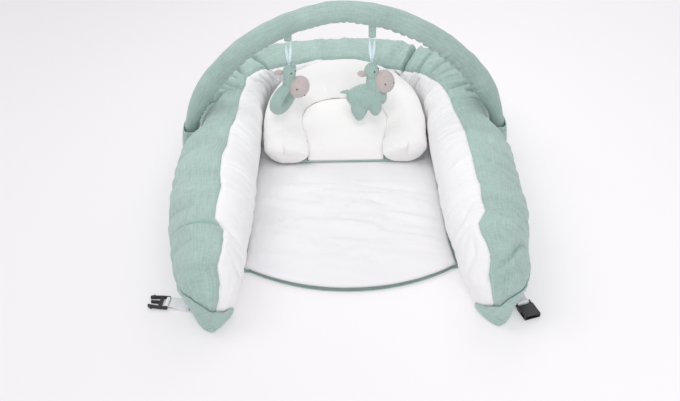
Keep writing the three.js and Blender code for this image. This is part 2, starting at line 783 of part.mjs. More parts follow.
function buildToys() {
  const [, neck, muzzle] = ringToyShares;
  const larger = buildToy("ring_toy_", ringToy, ringToyShares);
  buildEyes("ring_toy_", ringToy, ringToyShares, ringToyEyeShares, larger);
  const tube = toyRingThickness / 2;
  const hoop = new THREE.TorusGeometry(toyRingRadius, tube, 8, 20);
  const turn = new THREE.Euler(degToRad(90), degToRad(toyRingTurn.lean), degToRad(toyRingTurn.yaw), "ZYX");
  hoop.applyMatrix4(new THREE.Matrix4().makeRotationFromEuler(turn));
  hoop.translate(ringToy.x - toyRingRadius / 2, archY, ringToy.top - ringToy.size + toyRingRadius + tube * toyRingLiftShare);
  const cutters = [neck, muzzle].map((spec) => blob(spec, ringToy, seatGap));
  add("ring_toy_ring", without(hoop, ...cutters), mint);
  const rest = buildToy("plush_", plush, plushShares);
  buildEyes("plush_", plush, plushShares, plushEyeShares, rest);
}

// Straps lie on the floor and end in a loop round the buckle's bar, which points across the heading.
const barHeight = barRadius + barClearance + strapThickness + seatGap;

function place(geometry, bar) {
  geometry.rotateZ(degToRad(bar.heading));
  return geometry.translate(bar.x, bar.y, barHeight);
}

function buildStrap(name, bar) {
  const inner = barRadius + barClearance;
  const outer = inner + strapThickness;
  const profile = new THREE.Shape();
  const low = -outer;
  profile.absarc(0, 0, outer, -Math.PI / 2, Math.PI * strapLoopShare, false);
  profile.lineTo(-bar.strap, low + strapThickness);
  profile.lineTo(-bar.strap, low);
  profile.closePath();
  const hole = new THREE.Path().absarc(0, 0, inner, 0, 2 * Math.PI, true);
  profile.holes.push(hole);
  const geometry = new THREE.ExtrudeGeometry(profile, {
    depth: strapWidth,
    bevelEnabled: false,
    curveSegments: 10,
  });
  // The profile's first axis stays, its second becomes Z and the depth runs across.
  geometry.translate(0, 0, -strapWidth / 2);
  geometry.rotateX(Math.PI / 2);
  add(name, place(geometry, bar), white);
}

function flatPlate(points, low, high) {
  const outline = points.map(([x, y]) => new THREE.Vector2(x, y));
  return prism(outline, low, high);
}

const barRod = (halfLength) => new THREE.CylinderGeometry(barRadius, barRadius, 2 * halfLength, 12);

function buildMaleBuckle() {
  const half = buckleHeight / 2;
  const inside = strapWidth / 2 + barClearance;
  const edge = inside + armWidth;
  const bodyEnd = windowLength + maleBody;
  const tip = bodyEnd + prongLength;
  const barb = tip * barbShare;
  const arm = (side) => [
    [-barRadius, side * inside],
    [-barRadius, side * edge],
    [bodyEnd, side * edge],
    [bodyEnd, side * inside],
  ];
  const body = flatPlate(
    [
      [windowLength, -edge],
      [bodyEnd, -edge],
      [bodyEnd, edge],
      [windowLength, edge],
    ],
    -half,
    half,
  );
  const prong = (side) => [
    [bodyEnd - armWidth / 2, side * (edge - prongWidth)],
    [bodyEnd - armWidth / 2, side * edge],
    [barb - barbReach, side * (edge - prongWidth / 3)],
    [barb, side * (edge + barbReach / 3)],
    [tip, side * (edge - barbReach)],
    [tip, side * (edge - barbReach - prongWidth)],
  ];
  const guide = [
    [bodyEnd - armWidth / 2, -guideWidth / 2],
    [tip * guideShare, -guideWidth / 2],
    [tip * guideShare, guideWidth / 2],
    [bodyEnd - armWidth / 2, guideWidth / 2],
  ];
  let whole = solid(body).add(solid(barRod(inside + armWidth / 2)));
  for (const side of [-1, 1]) {
    for (const outline of [arm(side), prong(side)]) {
      whole = whole.add(solid(flatPlate(side > 0 ? outline.reverse() : outline, -half, half)));
    }
  }
  whole = whole.add(solid(flatPlate(guide, -half, half)));
  add("buckle_male", place(toGeometry(whole), maleBar), black);
}

function buildFemaleBuckle() {
  const half = femaleHeight / 2;
  const lift = half - barHeight + seatGap;
  const inside = strapWidth / 2 + barClearance;
  const edge = inside + armWidth;
  const start = windowLength;
  const end = start + femaleLength;
  const shell = flatPlate(
    [
      [start, -edge],
      [end, -edge],
      [end, edge],
      [start, edge],
    ],
    -half + lift,
    half + lift,
  );
  const cavity = box(
    vector(start + 2 * femaleWall, -edge + femaleWall, -half + lift + femaleWall),
    vector(end + overrun, edge - femaleWall, half + lift - femaleWall),
  );
  const windows = box(
    vector(end - femaleWindow - 2 * femaleWall, -edge - overrun, -half + lift + femaleWall),
    vector(end - 2 * femaleWall, edge + overrun, half + lift - femaleWall),
  );
  const arm = (side) =>
    box(
      vector(-barRadius, side > 0 ? inside : -edge, -barRadius),
      vector(start + femaleWall, side > 0 ? edge : -inside, barRadius),
    );
  const whole = solid(shell)
    .add(solid(arm(-1)))
    .add(solid(arm(1)))
    .add(solid(barRod(inside + armWidth / 2)))
    .subtract(solid(cavity))
    .subtract(solid(windows));
  add("buckle_female", place(toGeometry(whole), femaleBar), black);
}

buildBasePanel();
buildBolster();
buildMat();
buildPillow();
buildPockets();
buildHangers(buildArch());
buildToys();
buildStrap("strap_left", maleBar);
buildStrap("strap_right", femaleBar);
buildMaleBuckle();
buildFemaleBuckle();

export default lounger;
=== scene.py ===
"""Infant lounger: dresses the packed frame with cloth, padding, soft toys and buckles."""

import math

import bmesh
import bpy
import numpy as np
from mathutils import Matrix, Vector, geometry


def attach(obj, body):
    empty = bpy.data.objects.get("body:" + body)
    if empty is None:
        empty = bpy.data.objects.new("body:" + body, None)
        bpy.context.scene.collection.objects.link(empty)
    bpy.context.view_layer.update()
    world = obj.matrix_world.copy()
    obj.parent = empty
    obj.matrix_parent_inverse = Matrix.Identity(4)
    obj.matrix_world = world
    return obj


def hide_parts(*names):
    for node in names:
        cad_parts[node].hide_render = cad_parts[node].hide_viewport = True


bl_info = {
    "name": "Infant lounger",
    "version": (1, 0, 0),
    "blender": (4, 2, 0),
    "location": "View3D > Sidebar > Lounger",
    "description": "Builds an infant lounger with a toy arch round its packed frame",
    "category": "Object",
}

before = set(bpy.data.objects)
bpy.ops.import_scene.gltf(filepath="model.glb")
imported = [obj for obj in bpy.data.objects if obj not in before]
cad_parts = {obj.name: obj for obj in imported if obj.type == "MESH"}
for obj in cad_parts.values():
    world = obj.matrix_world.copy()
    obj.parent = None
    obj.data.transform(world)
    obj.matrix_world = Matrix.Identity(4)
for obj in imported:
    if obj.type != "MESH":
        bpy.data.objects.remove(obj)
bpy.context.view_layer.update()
MM = 0.001
PI = math.pi


# Numbers and noise.


def lerp(a, b, share):
    return a + (b - a) * share


def smoothstep(value, low, high):
    share = np.clip((np.asarray(value, float) - low) / (high - low), 0, 1)
    return share * share * (3 - 2 * share)


def signed_power(value, exponent):
    return np.sign(value) * np.abs(value) ** exponent


def fall(share, exponent):
    return np.maximum(0, 1 - np.maximum(0, share) ** exponent) ** (1 / exponent)


def bump_at(value, middle, width):
    return np.exp(-(((np.asarray(value) - middle) / width) ** 2))


NOISE_PERIOD = 97


def noise2(x, y, seed):
    """Smooth noise from -1 to 1 on a plane, one lump per unit."""
    size = NOISE_PERIOD
    table = np.random.default_rng(seed).uniform(-1, 1, (size, size))
    xi, yi = np.floor(x).astype(int), np.floor(y).astype(int)
    fx, fy = x - xi, y - yi
    fx, fy = fx * fx * (3 - 2 * fx), fy * fy * (3 - 2 * fy)
    at = lambda i, k: table[(xi + i) % size, (yi + k) % size]
    return lerp(lerp(at(0, 0), at(1, 0), fx), lerp(at(0, 1), at(1, 1), fx), fy)


def layers(x, y, table):
    """Sums layers of noise, each with a length of lump along x, a rate along y, a height and a seed."""
    return sum(noise2(x / length, y * rate, seed) * height for length, rate, height, seed in table)


FOLD_OCTAVES = 3


def folds(x, y, seed):
    """Soft creases: noise whose valleys are narrow, from 0 in a crease to 1."""
    total, weight = 0, 0
    for i in range(FOLD_OCTAVES):
        part = 1 - np.abs(noise2(x * 2**i, y * 2**i, seed + i))
        total = total + part * part * 0.5**i
        weight += 0.5**i
    return 1 - total / weight


# Meshes.


SMALLEST = 1e-9


def unit(vectors):
    """The same directions with a length of 1."""
    return vectors / np.maximum(np.linalg.norm(vectors, axis=-1, keepdims=True), SMALLEST)


def line_steps(line):
    """Lengths of the spans between the points of a line."""
    return np.linalg.norm(np.diff(line, axis=0), axis=-1)


def grid_normals(points):
    """Outward normals of a grid of points whose second index runs round the section."""
    across = np.roll(points, -1, 1) - np.roll(points, 1, 1)
    return unit(np.cross(across, np.gradient(points, axis=0)))


def finer(points, times, closed=False, axis=0):
    """The same grid with more rows along one axis, on smooth curves through its points."""
    points = np.moveaxis(points, axis, 0)
    count = len(points)
    steps = np.arange(0, count * times) if closed else np.arange(0, (count - 1) * times + 1)
    share = steps / times
    low = np.minimum(np.floor(share).astype(int), count - 1 if closed else count - 2)
    t = (share - low).reshape(-1, *[1] * (points.ndim - 1))
    if closed:
        pick = lambda k: points[(low + k) % count]
    else:
        pick = lambda k: points[np.clip(low + k, 0, count - 1)]
    p0, p1, p2, p3 = pick(-1), pick(0), pick(1), pick(2)
    curve = (
        2 * p1
        + (p2 - p0) * t
        + (2 * p0 - 5 * p1 + 4 * p2 - p3) * t**2
        + (3 * p1 - p0 - 3 * p2 + p3) * t**3
    )
    return np.moveaxis(curve / 2, 0, axis)


def closed_grid(points, closed_rows=False):
    """Points and faces of a grid of rings: its quads first, then a fan from a pole at each open end."""
    rows, columns = points.shape[:2]
    i, k = np.meshgrid(np.arange(rows if closed_rows else rows - 1), np.arange(columns), indexing="ij")
    i, k = i.ravel(), k.ravel()
    i2, k2 = (i + 1) % rows, (k + 1) % columns
    quads = np.stack([i * columns + k, i * columns + k2, i2 * columns + k2, i2 * columns + k], 1)
    faces, vertices = quads.tolist(), points.reshape(-1, 3)
    if closed_rows:
        return vertices, faces, i, k
    first, last = len(vertices), (rows - 1) * columns
    vertices = np.concatenate([vertices, [points[0].mean(0), points[-1].mean(0)]])
    for c in range(columns):
        d = (c + 1) % columns
        faces += [[first, d, c], [first + 1, last + c, last + d]]
    return vertices, faces, i, k


def grid_object(name, points, closed_rows=False, uv=None):
    """A mesh object in metres from a grid of rings in millimetres."""
    vertices, faces, i, k = closed_grid(points, closed_rows)
    mesh = bpy.data.meshes.new(name)
    mesh.from_pydata((vertices * MM).tolist(), [], faces)
    layer = mesh.uv_layers.new(name="cloth")
    if uv is None:
        lengths = line_steps(points).mean(1)
        along = np.concatenate([[0], np.cumsum(lengths), [lengths.sum() + lengths.mean()]])
        loop = np.linalg.norm(np.roll(points, -1, 1) - points, axis=2)[len(points) // 2]
        around = np.concatenate([[0], np.cumsum(loop)])
    else:
        along, around = uv
    corners = ((0, 0), (0, 1), (1, 1), (1, 0))
    quads = np.stack([np.stack([along[i + di], around[k + dk]], 1) for di, dk in corners], 1)
    # The fans at the ends are mapped from above.
    used = np.zeros(len(mesh.loops), np.int32)
    mesh.loops.foreach_get("vertex_index", used)
    values = vertices[used][:, :2] * MM
    values[: len(quads) * 4] = quads.reshape(-1, 2) * MM
    layer.data.foreach_set("uv", values.astype(np.float32).ravel())
    return mesh_object(name, mesh)


def mesh_object(name, mesh, smooth=True):
    """Puts a mesh into the scene, with its faces turned outward."""
    mesh.validate()
    recalculated = bmesh.new()
    recalculated.from_mesh(mesh)
    bmesh.ops.recalc_face_normals(recalculated, faces=recalculated.faces)
    recalculated.to_mesh(mesh)
    recalculated.free()
    mesh.polygons.foreach_set("use_smooth", [smooth] * len(mesh.polygons))
    thing = bpy.data.objects.new(name, mesh)
    bpy.context.scene.collection.objects.link(thing)
    return thing


def settle(thing):
    """Turns a piece's modifiers and place into its mesh, so that it sits at the origin."""
    bpy.context.view_layer.update()
    evaluated = thing.evaluated_get(bpy.context.evaluated_depsgraph_get())
    mesh = bpy.data.meshes.new_from_object(evaluated)
    mesh.transform(thing.matrix_world)
    thing.modifiers.clear()
    thing.data = mesh
    thing.matrix_world = Matrix.Identity(4)
    mesh.polygons.foreach_set("use_smooth", [True] * len(mesh.polygons))


CLOTH_FRAMES = 20
CLOTH_SETTINGS = {
    "quality": 5,
    "mass": 0.25,
    "tension_stiffness": 15,
    "compression_stiffness": 15,
    "shear_stiffness": 5,
    "bending_stiffness": 0.4,
    "use_pressure": True,
    "uniform_pressure_force": 3,
    "shrink_min": 0,
}


def inflate(grid, farthest, growth, held):
    """Blows a closed cloth up in a cloth simulation, in millimetres, and gives its moved grid.

    growth is how much longer than drawn the cloth is at each point, which makes it wrinkle.
    No point moves farther than farthest, and those that held marks stay where they are."""
    points, faces, _, _ = closed_grid(grid)
    mesh = bpy.data.meshes.new("cloth_at_work")
    mesh.from_pydata((points * MM).tolist(), [], faces)
    thing = bpy.data.objects.new("cloth_at_work", mesh)
    bpy.context.scene.collection.objects.link(thing)
    cloth = thing.modifiers.new("Cloth", "CLOTH")
    settings = cloth.settings
    for name, value in CLOTH_SETTINGS.items():
        setattr(settings, name, value)
    settings.effector_weights.gravity = 0
    most = float(growth.max())
    settings.shrink_max = -most
    # The two poles at the ends neither grow nor hold. A group is named in the settings once it exists.
    for use, weights in (("vertex_group_shrink", growth.ravel() / most), ("vertex_group_mass", held.ravel())):
        group = thing.vertex_groups.new(name=use)
        for index in np.flatnonzero(weights):
            group.add([int(index)], float(weights[index]), "REPLACE")
        setattr(settings, use, group.name)
    cloth.collision_settings.use_collision = False
    cloth.point_cache.frame_start = 1
    cloth.point_cache.frame_end = CLOTH_FRAMES
    scene = bpy.context.scene
    for step in range(1, CLOTH_FRAMES + 1):
        scene.frame_set(step)
    evaluated = thing.evaluated_get(bpy.context.evaluated_depsgraph_get())
    moved = np.zeros(len(points) * 3)
    evaluated.data.vertices.foreach_get("co", moved)
    bpy.data.objects.remove(thing)
    bpy.data.meshes.remove(mesh)
    scene.frame_set(1)
    shift = (moved.reshape(-1, 3) / MM - points)[:-2].reshape(grid.shape)
    length = np.linalg.norm(shift, axis=2, keepdims=True)
    return grid + shift * np.minimum(1, farthest / np.maximum(length, SMALLEST))


# Shader maths.


class Nodes:
    """Builds the nodes of one material."""

    def __init__(self, name):
        self.material = bpy.data.materials.new(name)
        self.material.use_nodes = True
        self.tree = self.material.node_tree
        self.shader = next(n for n in self.tree.nodes if n.type == "BSDF_PRINCIPLED")

    def node(self, kind, settings=None, **inputs):
        made = self.tree.nodes.new(kind)
        for key, value in (settings or {}).items():
            setattr(made, key, value)
        for key, value in inputs.items():
            self.feed(made.inputs[int(key[1:]) if key[1:].isdigit() else key.replace("_", " ")], value)
        return made

    def feed(self, socket, value):
        if isinstance(value, Signal):
            self.tree.links.new(value.socket, socket)
        elif isinstance(value, bpy.types.NodeSocket):
            self.tree.links.new(value, socket)
        else:
            socket.default_value = value

    def place(self, scale=(1, 1, 1), turn=0.0, of="UV"):
        """Coordinates in metres, or in units of the given scale."""
        coordinates = self.node("ShaderNodeTexCoord").outputs[of]
        mapping = self.node("ShaderNodeMapping", i0=coordinates, Scale=scale, Rotation=(0, 0, turn))
        return mapping.outputs[0]

    def component(self, place, axis):
        made = self.node("ShaderNodeSeparateXYZ", i0=place)
        return Signal(self, made.outputs[axis])

    def noise(self, place, scale=1.0, detail=2.0, roughness=0.5):
        inputs = {"Vector": place, "Scale": scale, "Detail": detail, "Roughness": roughness}
        made = self.node("ShaderNodeTexNoise", {"noise_dimensions": "3D"}, **inputs)
        return Signal(self, made.outputs[0])

    def wave(self, place, direction, scale):
        settings = {"wave_type": "BANDS", "bands_direction": direction}
        made = self.node("ShaderNodeTexWave", settings, Vector=place, Scale=scale)
        return Signal(self, made.outputs[1])

    def mix(self, factor, first, second):
        made = self.node("ShaderNodeMix", {"data_type": "RGBA"}, i0=factor, i6=(*first, 1), i7=(*second, 1))
        return made.outputs[2]

    def bump(self, height, depth, strength=1.0):
        made = self.node("ShaderNodeBump", Strength=strength, Distance=depth, Height=height)
        self.feed(self.shader.inputs["Normal"], made.outputs[0])

    def set(self, **values):
        for key, value in values.items():
            self.feed(self.shader.inputs[key.replace("_", " ")], value)


class Signal:
    """A number that varies over the surface, with ordinary arithmetic."""

    def __init__(self, nodes, socket):
        self.nodes, self.socket = nodes, socket

    def maths(self, operation, *values):
        inputs = {f"i{index}": value for index, value in enumerate(values)}
        made = self.nodes.node("ShaderNodeMath", {"operation": operation}, **inputs)
        return Signal(self.nodes, made.outputs[0])

    def __add__(self, other):
        return self.maths("ADD", self, other)

    def __sub__(self, other):
        return self.maths("SUBTRACT", self, other)

    def __mul__(self, other):
        return self.maths("MULTIPLY", self, other)

    def __truediv__(self, other):
        return self.maths("DIVIDE", self, other)

    def __rsub__(self, other):
        return self.maths("SUBTRACT", other, self)

    def step(self, low, high):
        made = self.nodes.node("ShaderNodeMapRange", {"interpolation_type": "SMOOTHSTEP"})
        for index, value in enumerate((self, low, high)):
            self.nodes.feed(made.inputs[index], value)
        return Signal(self.nodes, made.outputs[0])


# Settings.


def colour(name, default, description):
    kind = {"subtype": "COLOR", "size": 3, "min": 0, "max": 1}
    return bpy.props.FloatVectorProperty(name=name, description=description, default=default, **kind)


def length(name, default, description):
    kind = {"unit": "LENGTH", "min": 0, "precision": 4}
    return bpy.props.FloatProperty(name=name, description=description, default=default, **kind)


class LoungerColours(bpy.types.PropertyGroup):
    mint: colour("Mint linen", (0.386, 0.516, 0.474), "The outer cover, the arch and the piping")
    white: colour("White cotton", (0.9, 0.892, 0.894), "The bolster's inner cover")
    mat: colour("Mat cotton", (0.86, 0.85, 0.86), "The mat's cover, a little greyer")
    cream: colour("Pillow cotton", (0.895, 0.877, 0.865), "The pillow, a little warmer than the mat")
    plush: colour("Mint plush", (0.41, 0.565, 0.51), "The bodies of the two soft toys")
    mauve: colour("Mauve plush", (0.635, 0.55, 0.536), "The muzzles and ears of the soft toys")
    ribbon: colour("Blue satin", (0.76, 0.93, 1.0), "The ribbons that hold the toys")
    webbing: colour("White webbing", (0.93, 0.92, 0.94), "The straps, between their ribs")
    rod: colour("White plastic", (0.75, 0.74, 0.71), "The rod inside the arch")
    black: colour("Black", (0.012, 0.012, 0.014), "Buckles, eyes and nostrils")


class LoungerCloth(bpy.types.PropertyGroup):
    seam_depth: length("Seam depth", 0.0032, "How far a sewn seam sinks into the padding")
    wrinkle: length("Wrinkle height", 0.0016, "Height of the wrinkles in the bolster's cover")
    gather_pitch: length("Gather pitch", 0.0165, "Distance between two gathers of the arch's sleeve")
    gather_height: length("Gather height", 0.0042, "How far a gather stands out on the arch's inner side")
    stitch: length("Stitch length", 0.0032, "Length of one stitch of the sewing thread")


def colours():
    return bpy.context.scene.lounger_colours


def cloth():
    return bpy.context.scene.lounger_cloth


def shade(base, factor):
    return tuple(min(1.0, channel * factor) for channel in base)


# Scales of the thread patterns: how many lumps per metre lie across and along the cloth.
LINEN_WARP, LINEN_WEFT, LINEN_FLECK, LINEN_CLOUD = (30, 480, 1), (520, 70, 1), (640, 640, 1), (22, 14, 1)
LINEN_WEAVE, LINEN_DEPTH = 190, 0.0007
COTTON_WARP, COTTON_WEFT, COTTON_CLOUD, COTTON_DEPTH = (300, 1400, 1), (1400, 300, 1), (9, 9, 1), 0.00045
PILE, TUFTS, PILE_DEPTH = 900, 260, 0.0016
SATIN_RIBS, SATIN_CLOUD, SATIN_DEPTH = 420, 160, 0.0002
WEBBING_RIBS, TWILL, TWILL_TURN, WEBBING_DEPTH, WEBBING_LIGHT = 260, 300, 0.6, 0.0004, 0.06
MOULD_GRAIN, MOULD_WEAR, MOULD_DEPTH = 1400, 90, 0.00006


def linen(name, base, contrast):
    """Coarse linen: two sets of uneven threads with slubs, lighter where they lie on top."""
    n = Nodes(name)
    warp, weft = (n.noise(n.place(scale), detail=4.0, roughness=0.62) for scale in (LINEN_WARP, LINEN_WEFT))
    fleck = n.noise(n.place(LINEN_FLECK), roughness=0.6)
    cloud = n.noise(n.place(LINEN_CLOUD), detail=3.0)
    threads = (warp * 1.2 + weft * 0.8 + fleck * 0.3) / 2.3
    tone = (threads - 0.5) * 3.6 + 0.5 + (cloud - 0.5) * 0.9
    n.set(Base_Color=n.mix(tone, shade(base, 1 - contrast), shade(base, 1 + contrast)))
    n.set(Roughness=0.92, Sheen_Weight=0.25, Sheen_Roughness=0.6, Specular_IOR_Level=0.2)
    weave = n.wave(n.place(), "X", LINEN_WEAVE) * n.wave(n.place(), "Y", LINEN_WEAVE)
    n.bump(threads * 1.4 + weave * 0.2, LINEN_DEPTH, 0.7)
    return n.material


def cotton(name, base):
    """Fine plain-woven cotton: a tight weave in the bump and hardly any variation of tone."""
    n = Nodes(name)
    warp, weft, cloud = (n.noise(n.place(scale)) for scale in (COTTON_WARP, COTTON_WEFT, COTTON_CLOUD))
    threads = (warp + weft) / 2
    n.set(Base_Color=n.mix((threads + cloud) / 2, shade(base, 0.975), shade(base, 1.02)))
    n.set(Roughness=0.9, Sheen_Weight=0.15, Sheen_Roughness=0.5, Specular_IOR_Level=0.2)
    n.bump(threads, COTTON_DEPTH, 0.7)
    return n.material


def plush(name, base):
    """Short pile: fine tufts, darker between them."""
    n = Nodes(name)
    here = n.place(of="Object")
    pile = n.noise(here, PILE, 3.0, 0.65)
    tufts = n.noise(here, TUFTS)
    n.set(Base_Color=n.mix((pile + tufts) / 2, shade(base, 0.7), shade(base, 1.28)))
    n.set(Roughness=1.0, Sheen_Weight=0.5, Sheen_Roughness=0.5, Specular_IOR_Level=0.1)
    n.bump(pile + tufts * 0.8, PILE_DEPTH)
    return n.material


def satin(name, base):
    """Satin ribbon with fine ribs along its length."""
    n = Nodes(name)
    here = n.place()
    ribs = n.wave(here, "Y", SATIN_RIBS)
    uneven = n.noise(here, SATIN_CLOUD)
    n.set(Base_Color=n.mix(ribs * 0.5 + uneven * 0.5, shade(base, 0.9), shade(base, 1.12)))
    n.set(Roughness=0.34, Sheen_Weight=0.3, Specular_IOR_Level=0.5)
    n.bump(ribs, SATIN_DEPTH, 0.5)
    return n.material


def webbing(name, base):
    """White strap cloth with a ribbed weave."""
    n = Nodes(name)
    ribs = n.wave(n.place(), "X", WEBBING_RIBS)
    twill = n.wave(n.place(turn=TWILL_TURN), "Y", TWILL)
    n.set(Base_Color=n.mix(ribs * twill, base, [channel + WEBBING_LIGHT for channel in base]))
    n.set(Roughness=0.85, Specular_IOR_Level=0.25)
    n.bump(ribs + twill * 0.6, WEBBING_DEPTH, 0.7)
    return n.material


def plastic(name, base, roughness):
    """Moulded plastic with a fine, slightly uneven skin."""
    n = Nodes(name)
    grain = n.noise(n.place(of="Object"), MOULD_GRAIN)
    wear = n.noise(n.place(of="Object"), MOULD_WEAR, 3.0)
    n.set(Base_Color=n.mix(wear, shade(base, 0.8), shade(base, 1.5)))
    n.set(Roughness=grain * 0.12 + (roughness - 0.06), Specular_IOR_Level=0.5)
    n.bump(grain, MOULD_DEPTH, 0.5)
    return n.material


# How each finish is made: its maker, its colour, a share of that colour and the maker's own value.
FINISHES = {
    "mint_linen": (linen, "mint", 1, 0.17),
    "sleeve_linen": (linen, "mint", 0.88, 0.18),
    # The piping's binding is the mint at half its brightness: painted shade for the dark line under the roll.
    "mint_binding": (linen, "mint", 0.5, 0.25),
    "white_cotton": (cotton, "white", 1),
    "mat_cotton": (cotton, "mat", 1),
    "pillow_cotton": (cotton, "cream", 1),
    "thread": (cotton, "white", 1),
    "mint_plush": (plush, "plush", 1),
    "mauve_plush": (plush, "mauve", 1),
    "blue_ribbon": (satin, "ribbon", 1),
    "white_webbing": (webbing, "webbing", 1),
    "white_rod": (plastic, "rod", 1, 0.4),
    "black_plastic": (plastic, "black", 1, 0.42),
    "black_bead": (plastic, "black", 1, 0.12),
}
MATERIALS = {}


def finish_for(name):
    if name not in MATERIALS:
        maker, base, share, *own = FINISHES[name]
        MATERIALS[name] = maker(name, shade(getattr(colours(), base), share), *own)
    return MATERIALS[name]


def paint(thing, finish):
    thing.data.materials.clear()
    thing.data.materials.append(finish_for(finish))


def dress(thing, finish, slot, body, nodes=(), fill=None):
    """Gives a finished piece its material, body and record entries."""
    paint(thing, finish)
    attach(thing, body)
    if nodes:
        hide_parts(*nodes)
    return thing


# Bolster.


FOOT_REACH, HEAD_REACH, LEG_SPREAD = 387.0, 320.0, 229.0
LEG_BOW = {-1: 9.0, 1: 2.0}
TOE_IN, CORNER_START, CORNER_EXPONENT = 5.0, 90.0, 2.9
HEAD_HALF, SHOULDER_HALF, FOOT_HALF, LEG_SWELL_END = 64.0, 71.0, 50.0, -140.0
CROWN, FOOT_DROP, NOSE_LENGTH, NOSE_TIP = 128.0, 6.0, 84.0, 2.0
NOSE_PLAN_EXPONENT, NOSE_HEIGHT_EXPONENT, SOLE_EXPONENT = 3.0, 2.4, 4.0
SECTION_EXPONENT, BOTTOM_FLAT, BASE = 2.2, 0.07, 2.3
SEAM_INSET, SEAM_HEAD_INSET = 23.0, 24.0
DENT_DEPTH, DENT_REACH, ARCH_Y = 28.0, 59.0, 84.0
LINE_POINTS, DIRECTION_SPAN = 500, 9
OUTER_COLUMNS, INNER_COLUMNS, RING_SPACING, NOSE_RINGS = 40, 26, 5.6, 13


def path_lengths(line):
    """Length so far at each point of a line."""
    return np.append(0, np.cumsum(line_steps(line)))


def bolster_line():
    """The bolster's middle line seen from above, as close points, with the length so far."""
    t = np.linspace(0, 1, LINE_POINTS)
    angle = np.linspace(0, PI / 2, LINE_POINTS)[1:]
    turn_x = LEG_SPREAD * np.maximum(0, np.cos(angle)) ** (2 / CORNER_EXPONENT)
    turn_y = CORNER_START + (HEAD_REACH - CORNER_START) * np.sin(angle) ** (2 / CORNER_EXPONENT)
    turn_x[-1] = 0
    halves = []
    for side, bow in LEG_BOW.items():
        leg_x = LEG_SPREAD + bow * np.sin(PI * (1 - t)) - TOE_IN * (1 - t) ** 2
        leg_y = lerp(-FOOT_REACH, CORNER_START, t)
        halves.append(np.stack([side * np.append(leg_x, turn_x), np.append(leg_y, turn_y)], 1))
    line = np.concatenate([halves[0], halves[1][::-1][1:]])
    return line, path_lengths(line)


LINE, LINE_LENGTHS = bolster_line()
LINE_LENGTH = LINE_LENGTHS[-1]


def places_on(line, so_far, lengths):
    """Points of a flat line at lengths along it; past its ends, the end points."""
    return np.stack([np.interp(lengths, so_far, line[:, axis]) for axis in (0, 1)], -1)


def left_of(along):
    """Unit vectors a quarter turn to the left of the directions of a flat line."""
    along = unit(along)
    return np.stack([-along[..., 1], along[..., 0]], -1)


def bolster_at(lengths):
    """Middle, outward direction and half sizes of the bolster at lengths along its line."""
    middle, ahead, behind = (
        places_on(LINE, LINE_LENGTHS, lengths + step) for step in (0, DIRECTION_SPAN, -DIRECTION_SPAN)
    )
    nose_start = -FOOT_REACH + NOSE_LENGTH
    y = middle[..., 1]
    swell = smoothstep(y, -FOOT_REACH, LEG_SWELL_END)
    headward = smoothstep(y, CORNER_START, HEAD_REACH)
    plain = FOOT_HALF + (SHOULDER_HALF - FOOT_HALF) * swell - (SHOULDER_HALF - HEAD_HALF) * headward
    end = np.clip((nose_start - y) / NOSE_LENGTH, 0, 1)
    narrow, lower = fall(end, NOSE_PLAN_EXPONENT), fall(end, NOSE_HEIGHT_EXPONENT)
    dent = DENT_DEPTH * np.exp(-(((y - ARCH_Y) / DENT_REACH) ** 4))
    half_height = (CROWN - BASE) / (2 - BOTTOM_FLAT)
    drop = FOOT_DROP / 2 * (1 - swell)
    return {
        "middle": middle,
        "outward": left_of(ahead - behind),
        "inner": np.maximum(NOSE_TIP, plain * narrow),
        "outer": np.maximum(NOSE_TIP, (plain - dent) * narrow),
        "height": np.maximum(NOSE_TIP, (half_height - drop) * lower),
        "sole": lerp(SECTION_EXPONENT, SOLE_EXPONENT, smoothstep(end, 0.5, 1)),
        "headward": headward,
    }


def bolster_lengths():
    """Places of the section rings, closer together where the feet round off."""
    nose = NOSE_LENGTH * (1 - np.cos(PI / 2 * np.arange(NOSE_RINGS) / NOSE_RINGS))
    nose[0] = NOSE_TIP / 4
    count = round((LINE_LENGTH - 2 * NOSE_LENGTH) / RING_SPACING)
    middle = np.linspace(NOSE_LENGTH, LINE_LENGTH - NOSE_LENGTH, count + 1)
    return np.concatenate([nose, middle, LINE_LENGTH - nose[::-1]])


# How far the seam strays outward, in millimetres, at lengths from the left foot.
SEAM_WANDER = [
    (0, 0), (33, 5), (50, 0), (73, -6), (105, -13), (116, -12), (133, 8), (165, 7), (216, 1), (252, 5),
    (309, 6), (342, 0), (400, 0), (432, -6), (489, -7), (561, -5), (594, 5), (657, 5), (690, 0), (768, 0),
    (807, 5), (891, 5), (918, -4), (990, -12), (1071, -6), (1119, -9), (1170, -9), (1218, -8), (1275, -5),
    (1311, 0), (1357, 5), (1500, 6), (1516, 9), (1552, 6), (1590, 8), (1612, -6), (1633, -6), (1658, 0),
    (1684, 5), (1710, 0), (1726, 0),
]


def bolster_grid(lengths):
    """Rings of points: the outer half from the lower to the upper seam, then the inner half."""
    at = bolster_at(lengths)
    inset = SEAM_INSET + SEAM_HEAD_INSET * at["headward"] - np.interp(lengths, *np.transpose(SEAM_WANDER))
    ratio = np.clip(inset / at["inner"], 0.02, 0.5 + 0.35 * at["headward"])
    seam = np.arccos(-(ratio ** (SECTION_EXPONENT / 2)))[:, None]
    outer = seam * np.linspace(-1, 1, OUTER_COLUMNS + 1)[None, :-1]
    inner = lerp(seam, 2 * PI - seam, np.linspace(0, 1, INNER_COLUMNS + 1)[None, :-1])
    angle = np.concatenate([outer, inner], 1)
    exponent = np.where(np.sin(angle) < 0, at["sole"][:, None], SECTION_EXPONENT)
    across = signed_power(np.cos(angle), 2 / exponent)
    lift = signed_power(np.sin(angle), 2 / exponent)
    side = across * np.where(across > 0, at["outer"][:, None], at["inner"][:, None])
    plan = at["middle"][:, None] + at["outward"][:, None] * side[..., None]
    z = BASE + at["height"][:, None] * (1 - BOTTOM_FLAT + lift)
    return np.concatenate([plan, np.maximum(BASE, z)[..., None]], 2)


